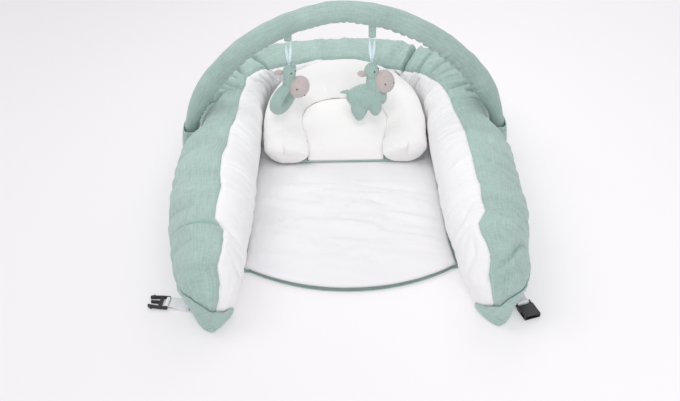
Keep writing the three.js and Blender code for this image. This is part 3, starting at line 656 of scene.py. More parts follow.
CREASE_STRENGTH, CREASE_SPAN = 1.1, 130
# A crease's valley narrows to its middle, lies in a broad soft hollow and has a lip on each side.
VALLEY_SHARPNESS, VALLEY_POWER, HOLLOW_DEPTH, HOLLOW_WIDTH = 1.5, 1.3, 0.35, 17
LIP_HEIGHT, LIP_PLACE, CREASE_END, CREASE_FADE_POWER = 0.22, 2.3, 0.04, 0.5

# Creases: half width and depth in millimetres, then points as the length along the bolster's line
# and the share round its section, from the outer floor over the seam (0.606) to the inner floor.
CREASES = [
    (3.6, 20.0, (684, 0.38), (675, 0.485), (669, 0.545), (675, 0.6), (690, 0.7)),
    (3.4, 10.0, (655, 0.61), (668, 0.66), (683, 0.72)),
    (3.8, 17.0, (645, 0.42), (634, 0.5), (603, 0.576), (596, 0.6)),
    (4.2, 9.0, (618, 0.42), (600, 0.5), (575, 0.58)),
    (4.4, 10.0, (590, 0.4), (567, 0.5), (549, 0.561), (542, 0.61)),
    (4.0, 8.0, (572, 0.4), (548, 0.5), (530, 0.58)),
    (4.0, 14.0, (548, 0.3), (515, 0.4), (504, 0.47), (528, 0.55)),
    (5.0, 3.0, (470, 0.36), (486, 0.46), (520, 0.53)),
    (7.0, 2.4, (440, 0.32), (420, 0.44), (424, 0.54)),
    (8.0, 2.6, (350, 0.3), (336, 0.42), (345, 0.55)),
    (9.0, 2.8, (282, 0.28), (262, 0.4), (270, 0.52)),
    (8.0, 3.4, (200, 0.3), (186, 0.379), (166, 0.5)),
    (6.0, 5.5, (140, 0.34), (129, 0.47), (123, 0.59), (114, 0.66), (104, 0.76)),
    (7.0, 2.6, (96, 0.3), (84, 0.42), (90, 0.54)),
    (6.0, 2.6, (62, 0.28), (48, 0.4), (30, 0.5)),
    (6.0, 2.4, (240, 0.63), (252, 0.74), (240, 0.84)),
    (5.0, 2.4, (70, 0.64), (52, 0.74), (58, 0.84)),
    (4.0, 8.0, (600, 0.63), (622, 0.7), (640, 0.8)),
    (4.0, 9.0, (632, 0.64), (650, 0.72), (666, 0.82)),
    (3.8, 22.0, (1006, 0.36), (1011, 0.455), (1017, 0.545), (1008, 0.667)),
    (3.6, 9.0, (988, 0.62), (1000, 0.66), (1012, 0.72)),
    (3.8, 7.0, (1046, 0.44), (1056, 0.515), (1066, 0.606), (1064, 0.667), (1056, 0.74)),
    (4.6, 5.5, (1085, 0.42), (1096, 0.52), (1110, 0.6)),
    (4.2, 7.0, (1085, 0.64), (1078, 0.72), (1068, 0.82)),
    (4.6, 5.0, (1138, 0.4), (1150, 0.5), (1158, 0.59)),
    (4.0, 4.5, (1112, 0.38), (1124, 0.48), (1132, 0.58)),
    (4.4, 7.0, (1150, 0.36), (1176, 0.48), (1204, 0.6)),
    (4.0, 13.0, (1184, 0.28), (1192, 0.4), (1208, 0.52)),
    (7.0, 2.6, (1262, 0.32), (1274, 0.44), (1268, 0.56)),
    (7.0, 2.8, (1330, 0.3), (1345, 0.43), (1338, 0.56)),
    (8.0, 2.6, (1410, 0.28), (1424, 0.4), (1418, 0.55)),
    (7.0, 2.8, (1480, 0.3), (1494, 0.42), (1486, 0.56)),
    (7.0, 3.6, (1566, 0.38), (1560, 0.455), (1548, 0.57)),
    (5.5, 3.6, (1612, 0.34), (1610, 0.44), (1602, 0.52), (1586, 0.595)),
    (8.0, 3.0, (1622, 0.605), (1650, 0.58), (1668, 0.5), (1664, 0.42)),
    (4.6, 5.5, (1700, 0.56), (1684, 0.5), (1656, 0.44), (1640, 0.36)),
    (4.5, 3.4, (1716, 0.57), (1706, 0.5), (1694, 0.42)),
    (6.0, 2.6, (1560, 0.64), (1590, 0.72), (1600, 0.82)),
    (6.0, 3.0, (1640, 0.66), (1668, 0.7), (1676, 0.8)),
]


def crease_relief(lengths, columns, girth):
    """Depth of the creases at lengths along the line and shares round it."""
    relief = np.zeros((len(lengths), len(columns)))
    for width, depth, *points in CREASES:
        rows = np.flatnonzero(np.abs(lengths - points[len(points) // 2][0]) < CREASE_SPAN)
        here_s, total = lengths[rows, None], girth[rows]
        here_a = columns[None, :] * total
        nearest, share_at = np.full(here_a.shape, np.inf), np.zeros(here_a.shape)
        spans = len(points) - 1
        for i, ((s0, c0), (s1, c1)) in enumerate(zip(points[:-1], points[1:])):
            a0, a1 = c0 * total, c1 * total
            span = (s1 - s0) ** 2 + (a1 - a0) ** 2
            t = np.clip(((here_s - s0) * (s1 - s0) + (here_a - a0) * (a1 - a0)) / span, 0, 1)
            distance = np.hypot(here_s - s0 - t * (s1 - s0), here_a - a0 - t * (a1 - a0))
            closer = distance < nearest
            nearest = np.where(closer, distance, nearest)
            share_at = np.where(closer, (i + t) / spans, share_at)
        near = nearest / width * (1 + 0.5 * (1 - np.sin(PI * share_at)))
        valley = np.exp(-((near * VALLEY_SHARPNESS) ** VALLEY_POWER))
        valley += HOLLOW_DEPTH * bump_at(nearest, 0, HOLLOW_WIDTH) - LIP_HEIGHT * bump_at(near, LIP_PLACE, 1)
        fading = np.sin(PI * np.clip(share_at, CREASE_END, 1 - CREASE_END)) ** CREASE_FADE_POWER
        relief[rows] -= CREASE_STRENGTH * depth * fading * valley
    return relief


# Layers of noise over the cover, and the puckers beside the seam.
COVER_LAYERS = ((95, 5, 2.0, 11), (42, 9, 1.2, 12), (9, 14, 0.25, 15))
PUCKER_LAYERS, PUCKER_REACH = ((11, 2, 1.3, 16), (5.5, 2, 0.5, 17)), 13
WRINKLE_LENGTH, WRINKLE_RATE, WRINKLE_POWER, WRINKLE_SCALE, WRINKLE_SEED = 19, 4.0, 1.6, 2.3, 14
WRINKLE_SWAY, WRINKLE_RISE, WRINKLE_LEVEL = ((60, 7, 0.9, 13),), 1.25, 0.5
GROOVE_WIDTH, GROOVE_POWER = 3.4, 1.5


def bolster_relief(lengths, columns, seam_distance, girth):
    """How far the cover stands out at each point, from folds, lumps, creases and the seam."""
    settings = cloth()
    s = lengths[:, None] + 0 * columns[None, :]
    c = columns[None, :] + 0 * s
    sway = s / WRINKLE_LENGTH + layers(s, c, WRINKLE_SWAY)
    wrinkles = folds(sway, c * WRINKLE_RATE, WRINKLE_SEED) ** WRINKLE_POWER * WRINKLE_RISE - WRINKLE_LEVEL
    relief = layers(s, c, COVER_LAYERS) + wrinkles * settings.wrinkle / MM * WRINKLE_SCALE
    relief += bump_at(seam_distance, 0, PUCKER_REACH) * layers(s, c, PUCKER_LAYERS)
    groove = settings.seam_depth / MM * np.exp(-np.abs(seam_distance / GROOVE_WIDTH) ** GROOVE_POWER)
    return relief - groove + crease_relief(lengths, columns, girth)


# The cover is this much longer than its filling, most of all inside the head bend.
COVER_GROWTH, HEAD_GROWTH, HEAD_GROWTH_Y, HEAD_GROWTH_REACH, COVER_PUFF = 0.012, 0.07, 235, 75, 7.0
SOLE_GRIP = 0.5
# The inner sides stay clear of the sliding pillow between these places along Y.
PILLOW_WAY_FOOT, PILLOW_WAY_HEAD, WAY_PUFF, WAY_RELIEF = (-110, -60), (110, 170), 0.5, 0.8
FINER, SOLE_FADE, NOSE_FADE = 3, 9, (60, 240)
# The foot ends run out to a blunt point on the floor.
TOE_HALF, TOE_MOST, TOE_BLUNT, TOE_HEIGHTS, TOE_LENGTH = 31, 1.35, 6, (10, 80), 90
# Under the folded ends the cover lies back a little.
TUCK_DEPTH, TUCK_START, TUCK_END, TUCK_HEIGHT, TUCK_TIP, TUCK_TIP_REACH = 1.6, 34, 80, 10, 10, 22
FLAP_RINGS = 25


def both_finer(points, times):
    """A grid of closed rings with more rings and more points in each."""
    return finer(finer(points, times), times, closed=True, axis=1)


def build_bolster():
    lengths = bolster_lengths()
    grid = bolster_grid(lengths)
    headward = bump_at(bolster_at(lengths)["middle"][:, 1:], HEAD_GROWTH_Y, HEAD_GROWTH_REACH)
    inner_side = (np.arange(grid.shape[1]) >= OUTER_COLUMNS).astype(float)
    growth = COVER_GROWTH + HEAD_GROWTH * headward * inner_side
    moved = inflate(grid, COVER_PUFF, growth, (grid[..., 2] < BASE + SOLE_GRIP).astype(float))
    y, side = grid[..., 1], np.sign(grid[..., 0])
    beside = smoothstep(y, *PILLOW_WAY_FOOT) * (1 - smoothstep(y, *PILLOW_WAY_HEAD)) * inner_side
    inward = -side * (moved - grid)[..., 0]
    grid = moved.copy()
    grid[..., 0] += side * np.maximum(0, inward - WAY_PUFF) * beside
    grid[..., 2] = np.maximum(BASE, grid[..., 2])
    fine, beside = both_finer(grid, FINER), both_finer(beside[..., None], FINER)[..., 0]
    lengths = finer(lengths[:, None], FINER)[:, 0]
    seam = FINER * OUTER_COLUMNS
    loop = np.linalg.norm(np.roll(fine, -1, 1) - fine, axis=2)
    total = loop.sum(1, keepdims=True)
    place = np.cumsum(loop, 1) - loop
    to_seam = np.minimum(np.abs(place - place[:, seam : seam + 1]), np.minimum(place, total - place))
    relief = bolster_relief(lengths, np.arange(fine.shape[1]) / fine.shape[1], to_seam, total)
    relief *= smoothstep(fine[..., 2], BASE, BASE + SOLE_FADE) * smoothstep(total, *NOSE_FADE)
    relief -= np.maximum(0, relief - WAY_RELIEF) * np.clip(beside, 0, 1)
    fine = fine + grid_normals(fine) * relief[..., None]
    aside = np.abs(np.abs(fine[..., 0]) - LEG_SPREAD + TOE_IN)
    point = TOE_HALF * np.minimum(TOE_MOST, aside / TOE_HALF) - TOE_BLUNT
    low = 1 - smoothstep(fine[..., 2], *TOE_HEIGHTS)
    fine[..., 1] += point * low * (1 - smoothstep(fine[..., 1], -FOOT_REACH, -FOOT_REACH + TOE_LENGTH))
    fine[..., 2] = np.maximum(BASE, fine[..., 2])
    tuck = 1 - smoothstep(fine[..., 1], -FOOT_REACH + TUCK_START, -FOOT_REACH + TUCK_END)
    tuck = tuck * smoothstep(fine[..., 2], BASE, TUCK_HEIGHT)
    under = fine - grid_normals(fine) * TUCK_DEPTH * tuck[..., None]
    for end in (0, -1):
        far = np.linalg.norm(fine - fine[end].mean(0), axis=2)
        under[..., 1] += TUCK_TIP * bump_at(far, 0, TUCK_TIP_REACH)
    inner = np.concatenate([under[:, seam:], under[:, :1]], 1)
    outer_nodes, inner_nodes = ("bolster_outer_cover", "bolster_filling"), ("bolster_inner_cover",)
    build_cover("outer", under[:, : seam + 1], lengths, "mint_linen", outer_nodes)
    build_cover("inner", inner, lengths, "white_cotton", inner_nodes)
    build_foot_fold("left", -1, fine[: FLAP_RINGS * FINER])
    build_foot_fold("right", 1, fine[::-1][: FLAP_RINGS * FINER])


def build_cover(side, part, lengths, finish, nodes):
    """One of the two cloths of the cover, with its threads along the bolster."""
    across = line_steps(part[len(part) // 4])
    uv = np.append(lengths, lengths[-1]), np.concatenate([[0], np.cumsum(across), [0]])
    piece = grid_object(f"bolster_{side}_fabric", part, uv=uv)
    dress(piece, finish, finish, "lounger", nodes, fill=0.8)


FLAP_LIFT, FLAP_LUMP, FLAP_LUMP_LENGTH, FLAP_LUMP_HEIGHT, FLAP_SEED = 1.2, 0.8, 14, 11, 18
FLAP_BACK, FLAP_OUTSIDE, FLAP_CLOTH, FLAP_SOLE = (12, 34), (-30, 10), 1.6, 1
# The flap ends at a slanting plane over the foot and at one across the leg.
FLAP_TOP, FLAP_TOP_SLANT, FLAP_REACH, FLAP_SLANT = 44, (-0.6, 0.2, 1), 46, (-0.3, 1, 0)
TIP_REACH, TIP_SMOOTHINGS = 15, 14
FLAP_UV_TURN, FLAP_UV_TIP = 25, -60


def build_foot_fold(side, sign, rings):
    """The mint flap folded over the end of a leg: the end's own skin, a little proud of it."""
    piece = grid_object("bolster_foot_fold_" + side, rings)
    mesh = bmesh.new()
    mesh.from_mesh(piece.data)
    mesh.normal_update()
    middle = sign * (LEG_SPREAD - TOE_IN)
    places = np.array([vertex.co for vertex in mesh.verts]) / MM
    outward = (places[:, 0] - middle) * sign
    # Towards its back the flap sinks into the cover on the outer side.
    back = smoothstep(places[:, 1] + FOOT_REACH, *FLAP_BACK) * smoothstep(outward, *FLAP_OUTSIDE)
    lumps = noise2(outward / FLAP_LUMP_LENGTH, places[:, 2] / FLAP_LUMP_HEIGHT, FLAP_SEED)
    for vertex, lift in zip(mesh.verts, FLAP_LIFT * (1 - back) + FLAP_LUMP * lumps):
        vertex.co += vertex.normal * float(lift) * MM
    pole = Vector(rings[0].mean(0)) * MM
    tip = [vertex for vertex in mesh.verts if (vertex.co - pole).length < TIP_REACH * MM]
    axes = {"use_axis_x": True, "use_axis_y": True, "use_axis_z": True}
    for _ in range(TIP_SMOOTHINGS):
        bmesh.ops.smooth_vert(mesh, verts=tip, factor=0.5, **axes)
    for vertex in mesh.verts:
        vertex.co.z = max((BASE - FLAP_SOLE) * MM, vertex.co.z)
    planes = (
        ((middle, -FOOT_REACH, FLAP_TOP), FLAP_TOP_SLANT),
        ((middle, -FOOT_REACH + FLAP_REACH, 0), FLAP_SLANT),
    )
    for point, (x, y, z) in planes:
        everything = mesh.verts[:] + mesh.edges[:] + mesh.faces[:]
        plane = {"plane_co": Vector(point) * MM, "plane_no": Vector((x * sign, y, z)).normalized()}
        bmesh.ops.bisect_plane(mesh, geom=everything, clear_outer=True, **plane)
    mesh.to_mesh(piece.data)
    mesh.free()
    solidify = piece.modifiers.new("Cloth thickness", "SOLIDIFY")
    solidify.thickness = FLAP_CLOTH * MM
    solidify.offset = -1
    settle(piece)
    tip_over = Matrix.Rotation(math.radians(FLAP_UV_TIP), 3, "X")
    flat_uv(piece, Matrix.Rotation(math.radians(FLAP_UV_TURN * sign), 3, "Z") @ tip_over)
    dress(piece, "mint_linen", "mint_linen", "lounger", ("bolster_end_" + side,), fill=0.8)


# Mat.


MAT_TUCK, MAT_EDGE, MAT_CROWN = 0.86, 9.0, 17.0
MAT_FOOT_MIDDLE, MAT_FOOT_CORNER = -298.0, -246.0
BINDING_WIDTH, BINDING_HEIGHT, SEAT_GAP = 2.4, 5.0, 0.3
PANEL_REACH, PANEL_FOOT_INSET, PANEL_THICKNESS = 0.5, 26.0, 2.0
MAT_SIDE_STEPS, MAT_ARC_STEPS = 150, 60
# Shares of the mat's plan at which its rings lie: below with their heights, above closer at the rim.
MAT_UNDER_RINGS = ((0.3, 0), (0.97, 0), (1, 1.2))
MAT_TOP_SHARES = np.concatenate([np.linspace(1, 0.9, 7), np.linspace(0.87, 0.05, 34)])
MAT_RIM, MAT_RIM_REACH = 2.4, 0.016
# The wrinkles run across the mat at a slant, in swells, folds and small creases.
MAT_SLANT, MAT_SWAY, MAT_CREASES = 0.22, ((70, 1 / 60, 9, 24),), ((34, 1 / 12, 1.0, 23),)
MAT_SWELLS, SWELL_SHIFT = ((130, 1 / 30, 2.6, 21),), 390
FOLD_LENGTH, FOLD_WIDTH, FOLD_SEED, FOLD_POWER, FOLD_LEVEL, FOLD_HEIGHT = 120, 18, 22, 1.5, 0.35, 9.0
MAT_CALM, WAVE_MOST, WAVE_PRESSED, PRESSED_FROM, PRESSED_TO = (0.03, 0.25), 6.0, -0.6, -45, -12
PIPING_STEPS, PIPING_SIDES, PIPING_FULL, PIPING_BACK = 140, 14, 0.2, 0.4
PIPING_WOBBLE = ((18, 0, 0.25, 31),)
BASE_LEG_STEPS, BASE_ARC_STEPS = 24, 40


def length_at_y(y):
    """Length along the bolster's line at which the left leg reaches a place along Y."""
    leg = LINE_LENGTHS < LINE_LENGTH / 2
    return float(np.interp(y, LINE[leg, 1], LINE_LENGTHS[leg]))


def foot_arc(middle_y, corner, steps):
    sag = corner[1] - middle_y
    half = abs(corner[0])
    radius = (half * half + sag * sag) / (2 * sag)
    angle = math.asin(half / radius) * (1 - 2 * np.arange(1, steps) / steps)
    return np.stack([radius * np.sin(angle), middle_y + radius * (1 - np.cos(angle))], 1)


def plan_line(inward, start, end, steps):
    lengths = np.linspace(start, end, steps + 1)
    at = bolster_at(lengths)
    return at["middle"] - at["outward"] * inward(at)[:, None]


def mat_outline():
    """The mat seen from above: its tucked sides and head, then the arc of its foot edge."""
    start = length_at_y(MAT_FOOT_CORNER)
    line = plan_line(lambda at: at["inner"] * MAT_TUCK, start, LINE_LENGTH - start, MAT_SIDE_STEPS)
    return np.concatenate([line, foot_arc(MAT_FOOT_MIDDLE, line[-1], MAT_ARC_STEPS)])


def at_height(plan, height):
    """Points of a plan, raised to one height or to a height for each."""
    return np.append(plan, np.broadcast_to(height, len(plan))[:, None], 1)


def mat_wave(x, y, share):
    """Height of the mat's wrinkles; under the pillow they are pressed flat."""
    slant = y + MAT_SLANT * x + layers(x, y, MAT_SWAY)
    creased = folds(x / FOLD_LENGTH, slant / FOLD_WIDTH, FOLD_SEED) ** FOLD_POWER - FOLD_LEVEL
    wave = layers(x + SWELL_SHIFT, slant, MAT_SWELLS) + layers(x, y, MAT_CREASES) + creased * FOLD_HEIGHT
    most = lerp(WAVE_MOST, WAVE_PRESSED, smoothstep(y, PRESSED_FROM, PRESSED_TO))
    return np.minimum(wave * smoothstep(share, *MAT_CALM), most)


def build_mat():
    outline = mat_outline()
    centre = outline.mean(0)
    rows = [at_height(lerp(centre, outline, share), z) for share, z in MAT_UNDER_RINGS]
    for share in MAT_TOP_SHARES:
        plan = lerp(centre, outline, share)
        rim = lerp(MAT_EDGE, MAT_CROWN, 1 - share**3) - MAT_RIM * math.exp(-(1 - share) / MAT_RIM_REACH)
        wave = mat_wave(plan[:, 0], plan[:, 1], share)
        rows.append(at_height(plan, rim + wave * (1 - share**6)))
    grid = np.array(rows)
    grid[..., 2] += PANEL_THICKNESS + SEAT_GAP
    piece = grid_object("mat_top_fabric", grid)
    flat_uv(piece)
    dress(piece, "mat_cotton", "white_cotton", "lounger", ("mat_cover", "mat_wadding"), fill=0.45)
    build_piping()
    build_base_cloth()


def flat_uv(piece, turn=None):
    """UV in metres straight from above, or from the side that turn brings to the top."""
    data = piece.data
    layer = data.uv_layers.active or data.uv_layers.new(name="cloth")
    points = np.empty(len(data.vertices) * 3)
    data.vertices.foreach_get("co", points)
    points = points.reshape(-1, 3)
    if turn is not None:
        points = points @ np.array(turn).T
    index = np.empty(len(data.loops), dtype=np.int32)
    data.loops.foreach_get("vertex_index", index)
    layer.data.foreach_set("uv", points[index][:, :2].ravel())


def build_piping():
    """The rounded edge binding, a roll along the arc of the mat's foot edge."""
    reach = SEAT_GAP + BINDING_WIDTH / 2
    arc = foot_arc(MAT_FOOT_MIDDLE - reach, mat_outline()[MAT_SIDE_STEPS] - [0, reach], PIPING_STEPS)
    x, y = arc[:, 0], arc[:, 1]
    z = PANEL_THICKNESS + SEAT_GAP + BINDING_HEIGHT / 2 + layers(x, y, PIPING_WOBBLE)
    line = np.stack([x, y - PIPING_BACK, z], 1)
    out = unit(np.cross(unit(np.gradient(line, axis=0)), [0, 0, 1]))
    up = np.cross(out, unit(np.gradient(line, axis=0)))
    angle = 2 * PI * np.arange(PIPING_SIDES) / PIPING_SIDES
    ring = out[:, None] * np.cos(angle)[None, :, None] * (BINDING_WIDTH / 2 + PIPING_FULL)
    ring = ring + up[:, None] * np.sin(angle)[None, :, None] * BINDING_HEIGHT / 2
    piece = grid_object("mat_piping", line[:, None] + ring)
    # Its finish is the mint darkened to half, painted shade for the shadow under the roll.
    dress(piece, "mint_binding", "mint_linen", "lounger", ("mat_edge_binding",))


def build_base_cloth():
    foot = length_at_y(-FOOT_REACH + PANEL_FOOT_INSET)
    corner = length_at_y(MAT_FOOT_CORNER)
    outward = lambda at: -np.minimum(at["inner"], at["outer"]) * PANEL_REACH
    inward = lambda at: at["inner"] * PANEL_REACH
    outer = plan_line(outward, foot, LINE_LENGTH - foot, MAT_SIDE_STEPS)
    right = plan_line(inward, LINE_LENGTH - foot, LINE_LENGTH - corner, BASE_LEG_STEPS)
    left = plan_line(inward, corner, foot, BASE_LEG_STEPS)
    arc_middle = MAT_FOOT_MIDDLE - BINDING_WIDTH - SEAT_GAP
    arc = foot_arc(arc_middle, mat_outline()[MAT_SIDE_STEPS], BASE_ARC_STEPS)
    outline = np.concatenate([outer, right, arc, left])
    cloth_plate("base_cloth", outline, at_height, PANEL_THICKNESS, "lounger", "base_panel")


def cloth_plate(name, outline, place, thickness, body, node):
    """A flat piece of cloth with a given outline, laid in its plane by place."""
    count = len(outline)
    corners = [Vector((x, y, 0)) for x, y in outline]
    triangles = geometry.tessellate_polygon([corners])
    faces = [list(t) for t in triangles] + [[count + i for i in t[::-1]] for t in triangles]
    for i in range(count):
        k = (i + 1) % count
        faces.append([i, k, count + k, count + i])
    points = np.concatenate([place(outline, 0), place(outline, thickness)])
    data = bpy.data.meshes.new(name)
    data.from_pydata((points * MM).tolist(), [], faces)
    piece = mesh_object(name, data, smooth=False)
    flat_uv(piece)
    dress(piece, "mint_linen", "mint_linen", body, (node,))


# Pillow.


PILLOW_FOOT_Y, PILLOW_TILT, PILLOW_LENGTH, PILLOW_HALF = 41.0, math.radians(20.5), 234.0, 153.0
PILLOW_SIDE_BAND, PILLOW_HEAD_BAND, PILLOW_LEG_START = 72.0, 94.0, 64.0
PILLOW_THICKNESS, PILLOW_FLAT, PILLOW_END_DEPTH = 46.0, 0.92, 26.0
PILLOW_CENTRE_THICKNESS, PILLOW_CENTRE_EDGE, PILLOW_EXPONENT = 31.0, 21.0, 2.3
PILLOW_TRAVEL_GAP, PILLOW_LEG_SHARE, SHEET_THICKNESS, PILLOW_END_EXPONENT = 3.0, 0.16, 1.5, 2.5
PILLOW_FLANK, PILLOW_FOOT_LIFT = 1.45, 3.5
PILLOW_FOOT_Z = PANEL_THICKNESS + SEAT_GAP + MAT_CROWN + SEAT_GAP
PILLOW_LIFT = SHEET_THICKNESS + SEAT_GAP
PILLOW_COLUMNS, PILLOW_CAP_RINGS, PILLOW_RINGS, PILLOW_FINER, BAND_STEP = 44, 12, 111, 2, 0.002
PILLOW_INNER_EXPONENT, PILLOW_FULLER, PILLOW_FULL_END = 9.0, 2.5, (120, 190)
PILLOW_GROWTH, PILLOW_PUFF, SEAM_HOLD, SOLE_HOLD = 0.03, 6.0, 0.1, 0.5
PILLOW_LUMPS, PILLOW_PLEATS, PLEAT_PLACE, PLEAT_REACH = ((14, 5, 1.3, 42),), ((3.0, 3, 1.0, 41),), 0.75, 0.13
PILLOW_RING_STEP, PILLOW_RELIEF_FADE, PILLOW_END_FULL, PILLOW_END_POWER = 0.9, (-0.8, 0.1), 1.02, 0.8
PILLOW_FOLD_LENGTH, PILLOW_FOLD_RATE, PILLOW_FOLD_HEIGHT, PILLOW_FOLD_SEED = 8, 4, 1.8, 43
CENTRE_STEPS, CENTRE_FOOT_STEPS, CENTRE_OVERLAP, CENTRE_SINK, CENTRE_SWELL = 121, 30, 0.6, 3, 2
CENTRE_FOOT_LENGTH, CENTRE_FOOT_POWER, CENTRE_FOOT_SHARE, CENTRE_LIFT_END = 40, 2.6, 0.2, 30
CENTRE_UNDER_SHARES = (0.1, 0.95)
# Shares of the centre's plan at which its rings lie, close together at the seam.
CENTRE_SHARES = np.append(np.linspace(1, 0.86, 15), np.linspace(0.84, 0.05, 30))
CENTRE_LUMP, CENTRE_LUMP_LENGTH, CENTRE_LUMP_WIDTH, CENTRE_LUMP_SHIFT, CENTRE_SEED = 1.0, 26, 20, 5, 44
STITCH_START, STITCH_SHARE, STITCH_SINK = 40, 0.975, 3.5
# How far the ring's inner seam leans toward the middle, at places up from the foot edge.
PILLOW_TOE = ((26, 10), (45, 6), (70, -1), (100, -5), (130, -5), (165, -1), (200, 1))


def from_pillow(u, v, w):
    """From the pillow's own plane (across, up the slope, out of the plane) to the row frame."""
    cos, sin = math.cos(PILLOW_TILT), math.sin(PILLOW_TILT)
    y = PILLOW_FOOT_Y + v * cos - w * sin
    z = PILLOW_FOOT_Z + v * sin + w * cos
    return np.stack(np.broadcast_arrays(u, y, z), -1)


def pillow_band(share):
    span = PILLOW_HALF - PILLOW_SIDE_BAND / 2
    rise = PILLOW_LENGTH - PILLOW_HEAD_BAND / 2 - PILLOW_LEG_START
    side = np.where(share < 0.5, -1, 1)
    along = np.where(share < 0.5, share, 1 - share)
    half = lerp(PILLOW_SIDE_BAND, PILLOW_HEAD_BAND, smoothstep(along, PILLOW_LEG_SHARE, 0.5)) / 2
    angle = PI / 2 * np.clip((along - PILLOW_LEG_SHARE) / (0.5 - PILLOW_LEG_SHARE), 0, 1)
    u = side * span * np.maximum(0, np.cos(angle)) ** (2 / PILLOW_EXPONENT)
    v = PILLOW_LEG_START + rise * np.sin(angle) ** (2 / PILLOW_EXPONENT)
    leg = lerp(PILLOW_END_DEPTH, PILLOW_LEG_START, along / PILLOW_LEG_SHARE)
    v = np.where(along < PILLOW_LEG_SHARE, leg, v)
    return u, v, half


def pillow_frame(share):
    u, v, half = pillow_band(share)
    before = pillow_band(np.maximum(0, share - BAND_STEP))
    after = pillow_band(np.minimum(1, share + BAND_STEP))
    return u, v, half, left_of(np.stack([after[0] - before[0], after[1] - before[1]], -1))


def pillow_toe(v):
    return np.interp(v, *np.transpose(PILLOW_TOE))


def build_pillow():
    angle = 2 * PI * np.arange(PILLOW_COLUMNS) / PILLOW_COLUMNS - PI / 2
    cos, sin = np.cos(angle)[None], np.sin(angle)[None]
    cap = PI / 2 * (np.arange(PILLOW_CAP_RINGS) + 0.5) / PILLOW_CAP_RINGS
    middle = np.linspace(0, 1, PILLOW_RINGS)
    share = np.concatenate([0 * cap, middle, 0 * cap + 1])

    def rounded(exponent):
        wave = lambda values: np.maximum(0, values) ** (2 / exponent)
        narrow = np.concatenate([wave(np.sin(cap)), 0 * middle + 1, wave(np.sin(cap[::-1]))])
        back = np.concatenate([wave(np.cos(cap)), 0 * middle, wave(np.cos(cap[::-1]))])
        return narrow[:, None], back[:, None] * PILLOW_END_DEPTH

    outer_narrow, outer_back = rounded(PILLOW_END_EXPONENT)
    inner_narrow, inner_back = rounded(PILLOW_INNER_EXPONENT)
    narrow, back = np.where(cos < 0, inner_narrow, outer_narrow), np.where(cos < 0, inner_back, outer_back)
    u, v, half, outward = pillow_frame(share)
    fuller = PILLOW_FULLER * (1 - smoothstep(v, *PILLOW_FULL_END))[:, None]
    reach = half[:, None] + np.where(cos < 0, pillow_toe(v)[:, None], fuller)
    slope = np.where((cos < 0) & (sin > 0), PILLOW_FLANK, 1.0)
    across = reach * narrow * signed_power(cos, slope)
    height = PILLOW_THICKNESS / 2 * np.minimum(1, outer_narrow * PILLOW_END_FULL) ** PILLOW_END_POWER
    rise = height * (PILLOW_FLAT + signed_power(sin, slope))
    up_slope = v[:, None] - back + outward[:, 1:] * across
    grid = from_pillow(u[:, None] + outward[:, :1] * across, up_slope, PILLOW_LIFT + np.maximum(0, rise))
    sewn = (np.abs(angle[None] - PI) < SEAM_HOLD) | (rise < SOLE_HOLD)
    grid = inflate(grid, PILLOW_PUFF, np.full(sewn.shape, PILLOW_GROWTH), sewn.astype(float))
    grid = both_finer(grid, PILLOW_FINER)
    s = np.arange(len(grid))[:, None] * PILLOW_RING_STEP
    c = np.arange(grid.shape[1])[None] / grid.shape[1]
    creased = folds(s / PILLOW_FOLD_LENGTH, c * PILLOW_FOLD_RATE, PILLOW_FOLD_SEED) - 0.5
    relief = layers(s, c, PILLOW_LUMPS) + creased * PILLOW_FOLD_HEIGHT
    relief = relief + layers(s, c, PILLOW_PLEATS) * bump_at(c, PLEAT_PLACE, PLEAT_REACH)
    lying = smoothstep(np.sin(2 * PI * c - PI / 2), *PILLOW_RELIEF_FADE)
    grid = grid + grid_normals(grid) * (relief * lying)[..., None]
    piece = grid_object("pillow_ring_fabric", grid)
    dress(piece, "pillow_cotton", "white_cotton", "pillow", ("pillow_ring",), fill=0.75)
    build_pillow_centre()
    build_pillow_underside()


def build_pillow_centre():
    u, v, half, outward = pillow_frame(np.linspace(0, 1, CENTRE_STEPS))
    inset = half + pillow_toe(v) - CENTRE_OVERLAP
    u = u - outward[:, 0] * inset
    v = np.maximum(SHEET_THICKNESS, v - outward[:, 1] * inset)
    v[0] = v[-1] = SHEET_THICKNESS
    foot = np.linspace(u[-1], u[0], CENTRE_FOOT_STEPS)[1:-1]
    u, v = np.append(u, foot), np.append(v, np.full(len(foot), SHEET_THICKNESS))
    middle_v = PILLOW_LENGTH / 4
    rows = [from_pillow(share * u, lerp(middle_v, v, share), PILLOW_LIFT) for share in CENTRE_UNDER_SHARES]
    for share in CENTRE_SHARES:
        pu, pv = share * u, lerp(middle_v, v, share)
        swell = PILLOW_CENTRE_THICKNESS - PILLOW_CENTRE_EDGE + CENTRE_SWELL
        height = PILLOW_CENTRE_EDGE - CENTRE_SINK + swell * (1 - share**9)
        lumps = noise2(pu / CENTRE_LUMP_LENGTH + CENTRE_LUMP_SHIFT, pv / CENTRE_LUMP_WIDTH, CENTRE_SEED)
        height = height + lumps * CENTRE_LUMP * (1 - share**4)
        foot = np.clip(1 - (pv - SHEET_THICKNESS) / CENTRE_FOOT_LENGTH, 0, 1) ** CENTRE_FOOT_POWER
        height = height * lerp(1, CENTRE_FOOT_SHARE, foot)
        pv = pv + PILLOW_FOOT_LIFT * (1 - smoothstep(pv, 0, CENTRE_LIFT_END))
        rows.append(from_pillow(pu, pv, PILLOW_LIFT + height))
    piece = grid_object("pillow_centre_fabric", np.array(rows))
    flat_uv(piece)
    dress(piece, "pillow_cotton", "white_cotton", "pillow", ("pillow_centre",), fill=0.4)
    sewn = v > STITCH_START
    u, v = STITCH_SHARE * u[sewn], lerp(middle_v, v[sewn], STITCH_SHARE)
    thread = from_pillow(u, v, PILLOW_LIFT + PILLOW_CENTRE_EDGE - STITCH_SINK)
    stitch_row("pillow_seam_stitches", thread, "pillow")


